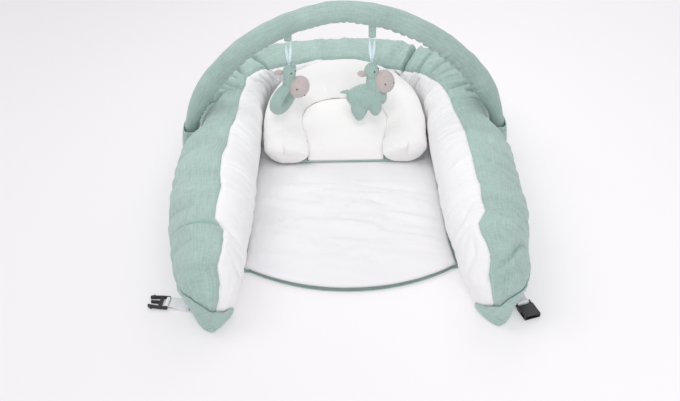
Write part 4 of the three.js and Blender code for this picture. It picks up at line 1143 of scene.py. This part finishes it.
def build_pillow_underside():
    u, v, half, outward = pillow_frame(np.linspace(0, 1, CENTRE_STEPS))
    middle, reach = np.stack([u, v], 1), (half - PILLOW_TRAVEL_GAP)[:, None] * outward
    down = np.array([0, PILLOW_TRAVEL_GAP - PILLOW_END_DEPTH])
    cap = (PI / 2 * np.arange(1, 10) / 10)[:, None]
    left, right = (middle[end] + reach[end] * np.cos(cap) + down * np.sin(cap) for end in (0, -1))
    foot = [[u[-1], PILLOW_TRAVEL_GAP], [u[0], PILLOW_TRAVEL_GAP]]
    outline = np.concatenate([left[::-1], middle + reach, right, foot])
    outline[:, 1] = np.maximum(0.5, outline[:, 1])
    place = lambda plan, w: from_pillow(plan[:, 0], plan[:, 1], w)
    cloth_plate("pillow_underside", outline, place, SHEET_THICKNESS, "pillow", "pillow_back")


# Arch.


ARCH_X, PIVOT_Z, ARCH_RISE, ARCH_EXPONENT = 296.0, 45.0, 268.0, 1.8
ARCH_RADIUS, ARCH_FOOT_RADIUS, TAPER_LOW, TAPER_HIGH = 19.5, 12.5, 88.0, 165.0
POCKET_FLOOR, POCKET_MOUTH, POCKET_CLEARANCE, POCKET_SWING, POCKET_EXPONENT = 28.0, 82.0, 1.2, 11.5, 3.0
SLEEVE_FOOT_RISE, SLEEVE_RINGS, SLEEVE_COLUMNS, SLEEVE_SPAN = 6.0, 640, 44, 4
SLEEVE_WANDER = ((37, 0, 9, 51), (23, 1.1, 4.0, 52))
SLEEVE_FOLDS = ((19, 1.9, 0.9, 54), (60, 0.8, 0.9, 55))
GATHER_SWING, GATHER_POWER, GATHER_LEVEL, GATHER_FULL = 1.7, 0.8, 1.1, 1.1
GATHER_TOP_SHARE, GATHER_TOP_END, GATHER_MEAN, GATHER_VARIATION = 0.3, (60, 170), 0.75, ((26, 1, 0.6, 53),)
GATHER_REACH, GATHER_LEAST_REACH, GATHER_REACH_VARIATION = 0.8, 0.3, ((1, 1, 0.35, 56),)
POCKET_SIDES, POCKET_RINGS, HEM_BELOW_MOUTH, HEM_STITCH_PROUD = 72, 22, 7.5, 0.15
# Each with its height, its place as a share of the pocket's height and its half width.
POCKET_TUCK, POCKET_HEM, POCKET_HEM_SEAM = (-4.5, 0, 0.1), (0.7, 0.97, 0.05), (-0.5, 0.86, 0.02)
POCKET_WRINKLE, POCKET_WRINKLE_SIZE, POCKET_SEED = 0.5, (2.2, 4), 61


def arch_line():
    angle = PI * np.arange(401) / 400
    x = -ARCH_X * signed_power(np.cos(angle), 2 / ARCH_EXPONENT)
    rise = np.maximum(0, np.sin(angle)) ** (2 / ARCH_EXPONENT)
    rise[0] = rise[-1] = 0
    foot = POCKET_FLOOR + SHEET_THICKNESS + 2 * SEAT_GAP
    x = np.concatenate([[-ARCH_X], x, [ARCH_X]])
    z = np.concatenate([[foot], PIVOT_Z + ARCH_RISE * rise, [foot]])
    line = np.stack([x, z], 1)
    return line, path_lengths(line)


ARCH_LINE, ARCH_LENGTHS = arch_line()
ARCH_LENGTH = ARCH_LENGTHS[-1]


def arch_at(lengths):
    return places_on(ARCH_LINE, ARCH_LENGTHS, lengths)


def build_arch():
    settings = cloth()
    pitch, height = settings.gather_pitch / MM, settings.gather_height / MM
    lengths = np.linspace(SLEEVE_FOOT_RISE, ARCH_LENGTH - SLEEVE_FOOT_RISE, SLEEVE_RINGS)
    middle = arch_at(lengths)
    inward = -left_of(arch_at(lengths + SLEEVE_SPAN) - arch_at(lengths - SLEEVE_SPAN))
    angle = 2 * PI * np.arange(SLEEVE_COLUMNS)[None] / SLEEVE_COLUMNS
    radius = lerp(ARCH_FOOT_RADIUS, ARCH_RADIUS, smoothstep(middle[:, 1:], TAPER_LOW, TAPER_HIGH))
    full = smoothstep(middle[:, 1:], TAPER_LOW - 30, TAPER_HIGH)
    side = np.minimum(angle, 2 * PI - angle)
    s = lengths[:, None] + 0 * side
    phase = PI * (s + layers(s, side, SLEEVE_WANDER)) / pitch
    wave = GATHER_SWING * np.abs(np.cos(phase)) ** GATHER_POWER - GATHER_LEVEL
    # The gathers are plain along the arch's legs and nearly die out over its top.
    strength = lerp(GATHER_TOP_SHARE, 1, smoothstep(np.abs(middle[:, :1]), *GATHER_TOP_END))
    strength = strength * (GATHER_MEAN + layers(s, 0 * s, GATHER_VARIATION))
    reach = np.maximum(GATHER_LEAST_REACH, GATHER_REACH + layers(s / pitch, 0 * s, GATHER_REACH_VARIATION))
    gathers = np.maximum(0, strength) * wave * bump_at(side, 0, reach)
    tube_radius = radius + full * (gathers * height * GATHER_FULL + layers(s, angle, SLEEVE_FOLDS))
    plan = middle[:, None] + inward[:, None] * (tube_radius * np.cos(angle))[..., None]
    grid = np.stack([plan[..., 0], ARCH_Y + tube_radius * np.sin(angle), plan[..., 1]], 2)
    piece = grid_object("arch_sleeve_fabric", grid)
    dress(piece, "sleeve_linen", "mint_linen", "arch", ("arch_sleeve", "arch_padding"), fill=0.8)
    paint(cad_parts["arch_rod"], "white_rod")


def build_pockets():
    half_x = ARCH_FOOT_RADIUS + POCKET_CLEARANCE
    half_y = ARCH_FOOT_RADIUS + POCKET_SWING
    angle = 2 * PI * np.arange(POCKET_SIDES) / POCKET_SIDES
    heights = np.linspace(POCKET_FLOOR, POCKET_MOUTH, POCKET_RINGS)

    def ring(sign, wall, z):
        lean = ARCH_X * fall(max(0, z - PIVOT_Z) / ARCH_RISE, ARCH_EXPONENT)
        x = sign * lean + (half_x + wall) * signed_power(np.cos(angle), 2 / POCKET_EXPONENT)
        y = ARCH_Y + (half_y + wall) * signed_power(np.sin(angle), 2 / POCKET_EXPONENT)
        return np.stack([x, y, np.full(len(angle), z)], 1)

    for side, sign in (("left", -1), ("right", 1)):
        inside = [ring(sign, 0, z) for z in heights[1:][::-1]]
        outside = []
        for z in heights:
            share = (z - POCKET_FLOOR) / (POCKET_MOUTH - POCKET_FLOOR)
            bands = (POCKET_TUCK, POCKET_HEM, POCKET_HEM_SEAM)
            stand = sum(height * bump_at(share, place, width) for height, place, width in bands)
            around, up = POCKET_WRINKLE_SIZE
            wrinkle = noise2(angle * around, 0 * angle + share * up, POCKET_SEED) * (1 - share)
            outside.append(ring(sign, SHEET_THICKNESS + stand + wrinkle * POCKET_WRINKLE, z))
        grid = np.array(outside + inside)
        piece = grid_object("arch_pocket_fabric_" + side, grid)
        dress(piece, "mint_linen", "mint_linen", "lounger", ("arch_pocket_" + side,))
        row = ring(sign, SHEET_THICKNESS + HEM_STITCH_PROUD, POCKET_MOUTH - HEM_BELOW_MOUTH)
        stitch_row("pocket_hem_stitches_" + side, row, "lounger", closed=True, finish="mint_linen")


# Stitches.


STITCH_SOCKETS = (
    ("INPUT", "Geometry", "Geometry", None),
    ("INPUT", "Pitch", "Float", 0.0045),
    ("INPUT", "Stitch Length", "Float", 0.0032),
    ("INPUT", "Thread Radius", "Float", 0.00035),
    ("INPUT", "Material", "Material", None),
    ("OUTPUT", "Geometry", "Geometry", None),
)
# Each node with its kind, its settings and its values.
STITCH_NODES = {
    "start": ("NodeGroupInput", {}, {}),
    "end": ("NodeGroupOutput", {}, {}),
    "curve": ("GeometryNodeMeshToCurve", {}, {}),
    "resample": ("GeometryNodeResampleCurve", {"mode": "LENGTH"}, {}),
    "points": ("GeometryNodeInstanceOnPoints", {}, {}),
    "capsule": ("GeometryNodeMeshUVSphere", {}, {"Segments": 6, "Rings": 5, "Radius": 1.0}),
    "tangent": ("GeometryNodeInputTangent", {}, {}),
    "align": ("FunctionNodeAlignEulerToVector", {"axis": "Z"}, {}),
    "size": ("ShaderNodeCombineXYZ", {}, {}),
    "half": ("ShaderNodeMath", {"operation": "MULTIPLY"}, {1: 0.5}),
    "realize": ("GeometryNodeRealizeInstances", {}, {}),
    "material": ("GeometryNodeSetMaterial", {}, {}),
}
STITCH_LINKS = (
    ("start", "Geometry", "curve", 0),
    ("curve", 0, "resample", "Curve"),
    ("start", "Pitch", "resample", "Length"),
    ("resample", 0, "points", "Points"),
    ("capsule", 0, "points", "Instance"),
    ("tangent", 0, "align", "Vector"),
    ("align", 0, "points", "Rotation"),
    ("start", "Stitch Length", "half", 0),
    ("start", "Thread Radius", "size", 0),
    ("start", "Thread Radius", "size", 1),
    ("half", 0, "size", 2),
    ("size", 0, "points", "Scale"),
    ("points", 0, "realize", 0),
    ("realize", 0, "material", "Geometry"),
    ("start", "Material", "material", "Material"),
    ("material", 0, "end", 0),
)


def stitch_tree():
    """Geometry nodes: puts one small capsule of thread on every pitch of a curve."""
    tree = bpy.data.node_groups.new("thread_stitches", "GeometryNodeTree")
    for way, name, kind, value in STITCH_SOCKETS:
        socket = tree.interface.new_socket(name, in_out=way, socket_type="NodeSocket" + kind)
        if value is not None:
            socket.default_value = value
    nodes = {}
    for name, (kind, settings, values) in STITCH_NODES.items():
        nodes[name] = tree.nodes.new(kind)
        for key, value in settings.items():
            setattr(nodes[name], key, value)
        for key, value in values.items():
            nodes[name].inputs[key].default_value = value
    for source, output, target, place in STITCH_LINKS:
        tree.links.new(nodes[source].outputs[output], nodes[target].inputs[place])
    return tree


def stitch_row(name, points, body, closed=False, finish="thread"):
    """A row of stitches along a line of points, in millimetres."""
    tree = bpy.data.node_groups.get("thread_stitches") or stitch_tree()
    count = len(points)
    edges = [(i, (i + 1) % count) for i in range(count if closed else count - 1)]
    mesh = bpy.data.meshes.new(name)
    mesh.from_pydata((np.asarray(points) * MM).tolist(), edges, [])
    row = bpy.data.objects.new(name, mesh)
    bpy.context.scene.collection.objects.link(row)
    modifier = row.modifiers.new("Stitches", "NODES")
    modifier.node_group = tree
    ids = {s.name: s.identifier for s in tree.interface.items_tree if s.in_out == "INPUT"}
    modifier[ids["Stitch Length"]] = cloth().stitch
    modifier[ids["Pitch"]] = cloth().stitch * 1.4
    modifier[ids["Material"]] = finish_for(finish)
    settle(row)
    return dress(row, finish, "white_cotton" if finish == "thread" else finish, body)


# Hangers and toys.


TAB_WIDTH, TAB_THICKNESS = 14.0, 4.0
RIBBON_SPREAD, RIBBON_FOOT_SPREAD, RIBBON_THICKNESS = 10.0, 3.0, 0.8
RIBBON_NARROW, RIBBON_WIDE, RIBBON_TOP_GAP, TOY_TOP_GAP = 3.0, 6.0, 0.65, 0.7
RING_TOY = {"side": "left", "x": -103.0, "tab_bottom": 257.0, "top": 209.0, "size": 102.0}
PLUSH_TOY = {"side": "right", "x": 48.0, "tab_bottom": 262.0, "top": 211.0, "size": 120.0}
TOY_RING_RADIUS, TOY_RING_THICKNESS, TOY_RING_TURN = 23.0, 21.5, math.radians(66)
TAB_RINGS, TAB_SIDES, TAB_SUNK, TAB_SIDE_POWER, TAB_FACE_POWER = 12, 28, 2, 0.35, 0.5
# The tab's low end rounds off, and the tab widens and thickens a little towards the arch.
TAB_ROUND, TAB_ROUND_RATE, TAB_ROUND_START, TAB_ROUND_POWER = 0.3, 1.6, 0.12, 0.6
TAB_LOW_WIDTH, TAB_LOW_DEPTH, TAB_HIGH_DEPTH = 0.94, 0.75, 1.25
RIBBON_STEPS, RIBBON_COLUMNS, RIBBON_CURL, RIBBON_HALF_THICKNESS = 26, 7, 0.35, 0.25
# Shares by which the loop draws in at its top and foot, and its twist halfway.
RIBBON_TOP_DRAW, RIBBON_FOOT_DRAW, RIBBON_DRAW_REACH = 0.5, 0.4, 0.05
RIBBON_TWIST, RIBBON_TWIST_POWER = math.radians(62), 0.7


def arch_height(x):
    return PIVOT_Z + ARCH_RISE * fall(abs(x) / ARCH_X, ARCH_EXPONENT)


def build_hangers():
    for toy in (RING_TOY, PLUSH_TOY):
        side, x = toy["side"], toy["x"]
        top = arch_height(x) - ARCH_RADIUS + TAB_SUNK
        low = toy["tab_bottom"]
        loops = []
        angle = 2 * PI * np.arange(TAB_SIDES) / TAB_SIDES
        for share in np.linspace(0, 1, TAB_RINGS):
            rounding = math.sin(PI * min(1, share * TAB_ROUND_RATE + TAB_ROUND_START)) ** TAB_ROUND_POWER
            half_x = TAB_WIDTH / 2 * lerp(TAB_LOW_WIDTH, 1, share)
            half_y = TAB_THICKNESS / 2 * lerp(TAB_LOW_DEPTH, TAB_HIGH_DEPTH, share)
            half_y *= rounding if share < TAB_ROUND else 1
            px = x + half_x * signed_power(np.cos(angle), TAB_SIDE_POWER)
            py = ARCH_Y + half_y * signed_power(np.sin(angle), TAB_FACE_POWER)
            loops.append(np.stack([px, py, np.full(TAB_SIDES, lerp(low, top, share))], 1))
        piece = grid_object("toy_tab_fabric_" + side, np.array(loops))
        dress(piece, "mint_linen", "mint_linen", "arch", ("toy_tab_" + side,))
        build_ribbon(toy)


def build_ribbon(toy):
    """A loop of ribbon: two strands that draw together from the tab to the toy."""
    top = toy["tab_bottom"] - RIBBON_TOP_GAP - RIBBON_THICKNESS / 2
    bottom = toy["top"] + RIBBON_THICKNESS / 2
    t = np.linspace(0, 1, RIBBON_STEPS)
    half = lerp(RIBBON_SPREAD / 2, RIBBON_FOOT_SPREAD / 2, t)
    half = half * (1 - RIBBON_TOP_DRAW * bump_at(t, 0, RIBBON_DRAW_REACH))
    half = half * (1 - RIBBON_FOOT_DRAW * bump_at(t, 1, RIBBON_DRAW_REACH))
    x = np.concatenate([half, -half[::-1]])
    z = np.concatenate([lerp(top, bottom, t), lerp(top, bottom, t)[::-1]])
    share = np.concatenate([t, t[::-1]])
    width = lerp(RIBBON_NARROW, RIBBON_WIDE, np.sin(PI * share))
    twist = RIBBON_TWIST * np.sin(PI * share) ** RIBBON_TWIST_POWER * np.sign(x)
    line = np.stack([toy["x"] + x, np.full(len(x), ARCH_Y), z], 1)
    along = unit(np.roll(line, -1, 0) - np.roll(line, 1, 0))
    side = np.stack([np.sin(twist), np.cos(twist), 0 * twist], 1)
    normal = np.cross(side, along)
    across = np.linspace(-1, 1, RIBBON_COLUMNS)
    curl = RIBBON_CURL * (1 - across**2)
    face = line[:, None] + side[:, None] * (across[None, :, None] * width[:, None, None] / 2)
    face = face + normal[:, None] * curl[None, :, None]
    thick = normal[:, None] * RIBBON_HALF_THICKNESS
    ring = np.concatenate([face + thick, (face - thick)[:, ::-1]], 1)
    piece = grid_object("toy_ribbon_satin_" + toy["side"], ring, closed_rows=True)
    dress(piece, "blue_ribbon", "blue_ribbon", "ribbon_" + toy["side"], ("toy_ribbon_" + toy["side"],))


BALL_SEGMENTS = 24


def blob(mesh, toy, at, half, turn=(0, 0, 0), taper=0.0):
    """Adds a ball to a bmesh: stretched, narrowed towards its low end and turned, as in the frame."""
    segments = {"u_segments": BALL_SEGMENTS, "v_segments": BALL_SEGMENTS // 2}
    rotation = turned_matrix(turn)
    middle = Vector((toy["x"], ARCH_Y, toy["top"] - TOY_TOP_GAP)) + Vector(at) * toy["size"]
    for vertex in bmesh.ops.create_uvsphere(mesh, radius=1, **segments)["verts"]:
        narrow = 1 + taper * vertex.co.z
        local = Vector((vertex.co.x * narrow, vertex.co.y * narrow, vertex.co.z))
        local = Vector(local[i] * (half[i] * toy["size"]) for i in range(3))
        vertex.co = (rotation @ local + middle) * MM


def turned_matrix(turn):
    """Rotation about X, then Y, then Z in the order that the frame's solids use."""
    x, y, z = (Matrix.Rotation(math.radians(a), 3, axis) for a, axis in zip(turn, "XYZ"))
    return x @ y @ z


def soft_body(name, toy, parts, voxel, smooth):
    """Several balls run together into one stuffed body."""
    mesh = bmesh.new()
    for part in parts:
        blob(mesh, toy, **part)
    data = bpy.data.meshes.new(name)
    mesh.to_mesh(data)
    mesh.free()
    piece = mesh_object(name, data)
    remesh = piece.modifiers.new("Merge", "REMESH")
    remesh.mode = "VOXEL"
    remesh.voxel_size = voxel * MM
    settled = piece.modifiers.new("Soften", "SMOOTH")
    settled.iterations = smooth
    settled.factor = 0.5
    settle(piece)
    return piece


def p(at, half, turn=(0, 0, 0), taper=0.0):
    return {"at": at, "half": half, "turn": turn, "taper": taper}


RING_PARTS = {
    "head": p((0, 0, -0.155), (0.125, 0.12, 0.155)),
    "neck": p((-0.01, 0, -0.35), (0.115, 0.105, 0.2), (0, 12, 0)),
    "muzzle": p((0.17, -0.03, -0.43), (0.19, 0.15, 0.225), (0, 24, 0)),
    "ear_left": p((-0.19, 0.01, -0.155), (0.085, 0.03, 0.06), (0, -12, 0)),
    "ear_right": p((0.07, 0.14, -0.12), (0.06, 0.06, 0.05)),
    "tuft": p((0.075, 0, -0.005), (0.028, 0.028, 0.06), (0, 20, 0)),
}
PLUSH_PARTS = {
    "body": p((-0.08, 0.01, -0.585), (0.31, 0.17, 0.2), (0, -6, 0)),
    "head": p((0, 0, -0.14), (0.115, 0.11, 0.14)),
    "neck": p((0.045, 0, -0.35), (0.13, 0.12, 0.2), (0, -12, 0), -0.15),
    "muzzle": p((0.2, -0.04, -0.3), (0.16, 0.13, 0.2), (0, -10, 0)),
    "leg_hind_left": p((-0.18, -0.04, -0.82), (0.13, 0.11, 0.19), taper=0.4),
    "leg_hind_right": p((-0.13, 0.12, -0.76), (0.1, 0.09, 0.17), taper=0.3),
    "leg_front_left": p((0.07, -0.05, -0.76), (0.1, 0.09, 0.15), taper=0.1),
    "leg_front_right": p((0.18, 0.08, -0.65), (0.08, 0.08, 0.13), taper=0.1),
    "tail": p((-0.415, 0.02, -0.51), (0.03, 0.03, 0.085), (0, 80, 0), 0.4),
    "ear_left": p((-0.14, -0.02, -0.175), (0.08, 0.03, 0.055), (0, 8, 0)),
    "ear_right": p((0.03, 0.13, -0.1), (0.05, 0.06, 0.05)),
    "horn_left": p((0.055, -0.03, 0.01), (0.018, 0.018, 0.06), (0, 14, 0)),
    "horn_right": p((0.1, 0.04, 0.02), (0.018, 0.018, 0.07), (0, 24, 0)),
}


LARGE_PART, SMALL_PART = {"voxel": 1.7, "smooth": 6}, {"voxel": 1.0, "smooth": 2}
RING_TRUNK = ("head", "neck")
RING_SMALL = {"ear_left": "mauve_plush", "ear_right": "mint_plush", "tuft": "mint_plush"}
PLUSH_LEGS = ("leg_hind_left", "leg_hind_right", "leg_front_left", "leg_front_right")
PLUSH_TRUNK = ("body", "head", "neck", *PLUSH_LEGS, "tail")
PLUSH_SMALL = {
    "ear_left": "mauve_plush",
    "ear_right": "mint_plush",
    "horn_left": "mint_plush",
    "horn_right": "mint_plush",
}
# The ring leans in the picture and is seen nearly from its edge.
RING_LONG_WAY, RING_TOWARD, RING_OVER = (
    np.array(way) for way in ((0.588, 0.414, 0.693), (0.059, -0.857, 0.512), (-0.809, 0.301, 0.504))
)
RING_STEPS, RING_SIDES, RING_SWELL, RING_SIT = 80, 30, 0.14, 0.9


def build_stuffed(toy, parts, body, prefix, trunk, small, fill):
    """The sewn parts of a toy: its trunk in one piece, its muzzle and its small parts."""
    pieces = [("body", trunk, "mint_plush", LARGE_PART, fill)]
    pieces += [("muzzle", ("muzzle",), "mauve_plush", LARGE_PART, 0.85)]
    pieces += [(name, (name,), finish, SMALL_PART, 0.6) for name, finish in small.items()]
    for name, joined, finish, fineness, filled in pieces:
        piece = soft_body(f"{prefix}_{name}_plush", toy, [parts[part] for part in joined], **fineness)
        dress(piece, finish, finish, body, [f"{prefix}_{part}" for part in joined], fill=filled)


def build_ring_toy():
    toy = RING_TOY
    build_stuffed(toy, RING_PARTS, "ring_toy", "ring_toy", RING_TRUNK, RING_SMALL, 0.8)
    short_way = math.sin(TOY_RING_TURN) * RING_TOWARD + math.cos(TOY_RING_TURN) * RING_OVER
    rotation = np.stack([RING_LONG_WAY, short_way, np.cross(RING_LONG_WAY, short_way)], 1)
    around = 2 * PI * np.arange(RING_STEPS)[:, None] / RING_STEPS
    across = 2 * PI * np.arange(RING_SIDES)[None] / RING_SIDES
    thick = TOY_RING_THICKNESS / 2 * (1 - RING_SWELL * np.cos(around))
    reach = TOY_RING_RADIUS + thick * np.cos(across)
    grid = np.stack([reach * np.cos(around), reach * np.sin(around), thick * np.sin(across)], 2)
    drop = TOY_RING_RADIUS + TOY_RING_THICKNESS / 2 * RING_SIT
    middle = [toy["x"] - TOY_RING_RADIUS / 2, ARCH_Y, toy["top"] - toy["size"] + drop]
    piece = grid_object("ring_toy_ring_plush", grid @ rotation.T + middle, closed_rows=True)
    dress(piece, "mint_plush", "mint_plush", "ring_toy", ("ring_toy_ring",), fill=0.85)


def build_plush_toy():
    build_stuffed(PLUSH_TOY, PLUSH_PARTS, "plush_animal", "plush", PLUSH_TRUNK, PLUSH_SMALL, 0.85)


def finish_beads():
    for name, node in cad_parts.items():
        if "eye" in name or "nostril" in name:
            paint(node, "black_bead")


# Straps and buckles.


STRAP_WIDTH, STRAP_WIDE, STRAP_THICKNESS, BAR_RADIUS, BAR_CLEARANCE = 20.0, 27.0, 1.6, 2.0, 0.4
MALE_BAR = {"x": -299.0, "y": -322.0, "heading": 172.0, "strap": 41.7}
FEMALE_BAR = {"x": 270.0, "y": -340.0, "heading": -72.0, "strap": 24.0}
BAR_HEIGHT = BAR_RADIUS + BAR_CLEARANCE + STRAP_THICKNESS + SEAT_GAP
MOULD_EDGE, MOULD_CORNER = 0.45, math.radians(40)
STRAP_FLAT_STEPS, STRAP_TURN_STEPS, STRAP_TAIL_STEPS, STRAP_COLUMNS = 16, 34, 12, 13
STRAP_TURN_END, STRAP_TAIL_SHARE, STRAP_TAIL_DOWN, STRAP_PRESSED = 0.85 * PI, 0.9, 0.7, 0.15
STRAP_EVEN, STRAP_WIDE_FROM = 4, 0.8


def build_straps():
    for side, bar in (("left", MALE_BAR), ("right", FEMALE_BAR)):
        inner = BAR_RADIUS + BAR_CLEARANCE
        middle = inner + STRAP_THICKNESS / 2
        flat_x = np.linspace(-bar["strap"], 0, STRAP_FLAT_STEPS)[:-1]
        turn = np.linspace(-PI / 2, STRAP_TURN_END, STRAP_TURN_STEPS)
        x = np.concatenate([flat_x, middle * np.cos(turn)])
        z = np.concatenate([np.full(len(flat_x), -middle), middle * np.sin(turn)])
        tail = np.linspace(0, 1, STRAP_TAIL_STEPS)[1:]
        tail_z = -middle + STRAP_THICKNESS + SEAT_GAP
        x = np.concatenate([x, lerp(x[-1], -bar["strap"] * STRAP_TAIL_SHARE, tail)])
        z = np.concatenate([z, lerp(z[-1], tail_z, smoothstep(tail, 0, STRAP_TAIL_DOWN))])
        line = np.stack([x, 0 * x, z], 1)
        along = unit(np.gradient(line, axis=0))
        normal = np.stack([-along[:, 2], 0 * x, along[:, 0]], 1)
        width = lerp(STRAP_WIDTH, STRAP_WIDE, smoothstep(-x, STRAP_EVEN, bar["strap"] * STRAP_WIDE_FROM))
        across = np.linspace(-1, 1, STRAP_COLUMNS)[None] * width[:, None] / 2
        face = line[:, None] + across[..., None] * np.array([0, 1, 0])
        thick = normal[:, None] * (STRAP_THICKNESS / 2 - STRAP_PRESSED)
        grid = np.concatenate([face + thick, (face - thick)[:, ::-1]], 1)
        turned = np.array(Matrix.Rotation(math.radians(bar["heading"]), 3, "Z"))
        grid = grid @ turned.T + [bar["x"], bar["y"], BAR_HEIGHT]
        piece = grid_object("strap_webbing_" + side, grid)
        dress(piece, "white_webbing", "white_webbing", "lounger", ("strap_" + side,))
        steps = line_steps(line)
        mean_width = np.sum((width[1:] + width[:-1]) / 2 * steps) / steps.sum()


def finish_buckles():
    for name in ("buckle_male", "buckle_female"):
        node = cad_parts[name]
        paint(node, "black_plastic")
        bevel = node.modifiers.new("Moulded edges", "BEVEL")
        bevel.width = MOULD_EDGE * MM
        bevel.segments = 2
        bevel.limit_method = "ANGLE"
        bevel.angle_limit = MOULD_CORNER


# Stage.


# The floor's colours are painted light: the shaded and lit ends of a painted gradient, and a glow that lifts
# the shadows on the floor.
FLOOR_PAINTED_SHADE, FLOOR_PAINTED_LIGHT, FLOOR_PAINTED_GLOW = (0.53, 0.52, 0.52), (0.75, 0.74, 0.735), (0.265, 0.255, 0.268)
FLOOR_HALF = 8.0
WORLD_TINT, WORLD_STRENGTH = (0.965, 0.965, 1.0, 1), 0.7
# Name, kind, place, target, power and further settings of each lamp, in metres and watts.
LAMPS = (
    ("key_softbox", "AREA", (-1.2, 0.3, 2.0), (0, 0, 0.05), 11.5, {"size": 1.3, "color": (1.0, 0.99, 0.97)}),
    ("fill_softbox", "AREA", (0.3, -2.4, 1.5), (0, 0, 0.05), 14.0, {"size": 1.3, "color": (0.98, 0.98, 1.0)}),
    ("rear_softbox", "AREA", (0.5, 1.9, 1.9), (0, 0.1, 0.1), 10.0, {"size": 1.4}),
    ("head_spot", "SPOT", (-0.15, -0.9, 1.7), (0, 0.27, 0.1), 34.0,
     {"spot_size": math.radians(34), "spot_blend": 1.0, "shadow_soft_size": 0.35}),
)
# The photograph looks at the lounger a little from one side, turned about the arch.
CAMERA_PLACE, CAMERA_PIVOT, CAMERA_TURN, CAMERA_TILT = (-0.008, -1.450, 1.053), (0, 0.084, 0), -1.8, 53
SENSOR, PHOTO_WIDTH, FOCAL_PIXELS, SHIFT_PIXELS = 36.0, 680, 950, -1


def placed(name, data, place, rotation):
    thing = bpy.data.objects.new(name, data)
    thing.location, thing.rotation_euler = place, rotation
    bpy.context.scene.collection.objects.link(thing)
    return thing


def build_stage():
    scene = bpy.context.scene
    scene.view_settings.view_transform = "Standard"
    mesh = bpy.data.meshes.new("floor")
    low, high = -FLOOR_HALF, FLOOR_HALF
    mesh.from_pydata([(low, low, 0), (high, low, 0), (high, high, 0), (low, high, 0)], [], [(0, 1, 2, 3)])
    floor = placed("floor", mesh, (0, 0, 0), (0, 0, 0))
    n = Nodes("pale_floor")
    here = n.place(of="Object")
    across, along = (n.component(here, axis) for axis in "XY")
    # Painted light: the floor's colour gets lighter towards the right and towards the front.
    lit = across.step(-0.8, 0.8) * 0.55 + (1 - along.step(-0.5, 1.2)) * 0.45
    n.set(Base_Color=n.mix(lit, FLOOR_PAINTED_SHADE, FLOOR_PAINTED_LIGHT))
    # Painted light: the floor glows a little, which lifts the shadows cast on it.
    n.set(Emission_Color=(*FLOOR_PAINTED_GLOW, 1), Emission_Strength=1.0)
    n.set(Roughness=0.9, Specular_IOR_Level=0.1)
    mesh.materials.append(n.material)
    scene.world = bpy.data.worlds.new("studio")
    scene.world.use_nodes = True
    background = scene.world.node_tree.nodes["Background"]
    background.inputs[0].default_value = WORLD_TINT
    background.inputs[1].default_value = WORLD_STRENGTH
    for name, kind, place, target, power, settings in LAMPS:
        data = bpy.data.lights.new(name, kind)
        data.energy = power
        for key, value in settings.items():
            setattr(data, key, value)
        placed(name, data, place, (Vector(target) - Vector(place)).to_track_quat("-Z", "Y").to_euler())
    data = bpy.data.cameras.new("camera")
    data.sensor_width = SENSOR
    data.lens = FOCAL_PIXELS / PHOTO_WIDTH * SENSOR
    data.shift_x = SHIFT_PIXELS / PHOTO_WIDTH
    turn, tilt = math.radians(CAMERA_TURN), math.radians(CAMERA_TILT)
    pivot = Vector(CAMERA_PIVOT)
    place = pivot + Matrix.Rotation(turn, 4, "Z") @ (Vector(CAMERA_PLACE) - pivot)
    scene.camera = placed("camera", data, place, (tilt, 0, turn))


# Operators and panel.


def operator(identifier, label, text, *makers):
    def execute(self, context):
        for make in makers:
            make()
        return {"FINISHED"}

    name = "LOUNGER_OT_" + identifier
    return type(
        name,
        (bpy.types.Operator,),
        {"__doc__": text, "bl_idname": "lounger." + identifier, "bl_label": label, "execute": execute},
    )


OPERATORS = [
    operator("bolster", "Bolster", "Makes the two-coloured bolster and its folded feet", build_bolster),
    operator("mat", "Mat", "Makes the mat, its piping and the cloth underneath", build_mat),
    operator("pillow", "Pillow", "Makes the horseshoe pillow and its sewn centre", build_pillow),
    operator("arch", "Arch", "Makes the arch's gathered sleeve and its pockets", build_arch, build_pockets),
    operator("hangers", "Hangers", "Makes the tabs and ribbons that hold the toys", build_hangers),
    operator("toys", "Soft toys", "Makes the soft toys", build_ring_toy, build_plush_toy, finish_beads),
    operator("buckles", "Straps", "Makes the straps and finishes the buckles", build_straps, finish_buckles),
    operator("stage", "Stage", "Makes the floor, the lamps and the camera", build_stage),
]


class LOUNGER_PT_panel(bpy.types.Panel):
    """Lists the steps that build the lounger"""

    bl_label = "Infant lounger"
    bl_idname = "LOUNGER_PT_panel"
    bl_space_type = "VIEW_3D"
    bl_region_type = "UI"
    bl_category = "Lounger"

    def draw(self, context):
        for made in OPERATORS:
            self.layout.operator(made.bl_idname)
        for group in (context.scene.lounger_colours, context.scene.lounger_cloth):
            for name in group.__annotations__:
                self.layout.prop(group, name)


CLASSES = [LoungerColours, LoungerCloth, *OPERATORS, LOUNGER_PT_panel]


def register():
    for made in CLASSES:
        bpy.utils.register_class(made)
    bpy.types.Scene.lounger_colours = bpy.props.PointerProperty(type=LoungerColours)
    bpy.types.Scene.lounger_cloth = bpy.props.PointerProperty(type=LoungerCloth)


def unregister():
    del bpy.types.Scene.lounger_colours
    del bpy.types.Scene.lounger_cloth
    for made in reversed(CLASSES):
        bpy.utils.unregister_class(made)


def main():
    register()
    for made in OPERATORS:
        group, step = made.bl_idname.split(".")
        getattr(getattr(bpy.ops, group), step)()


if __name__ == "__main__":
    main()
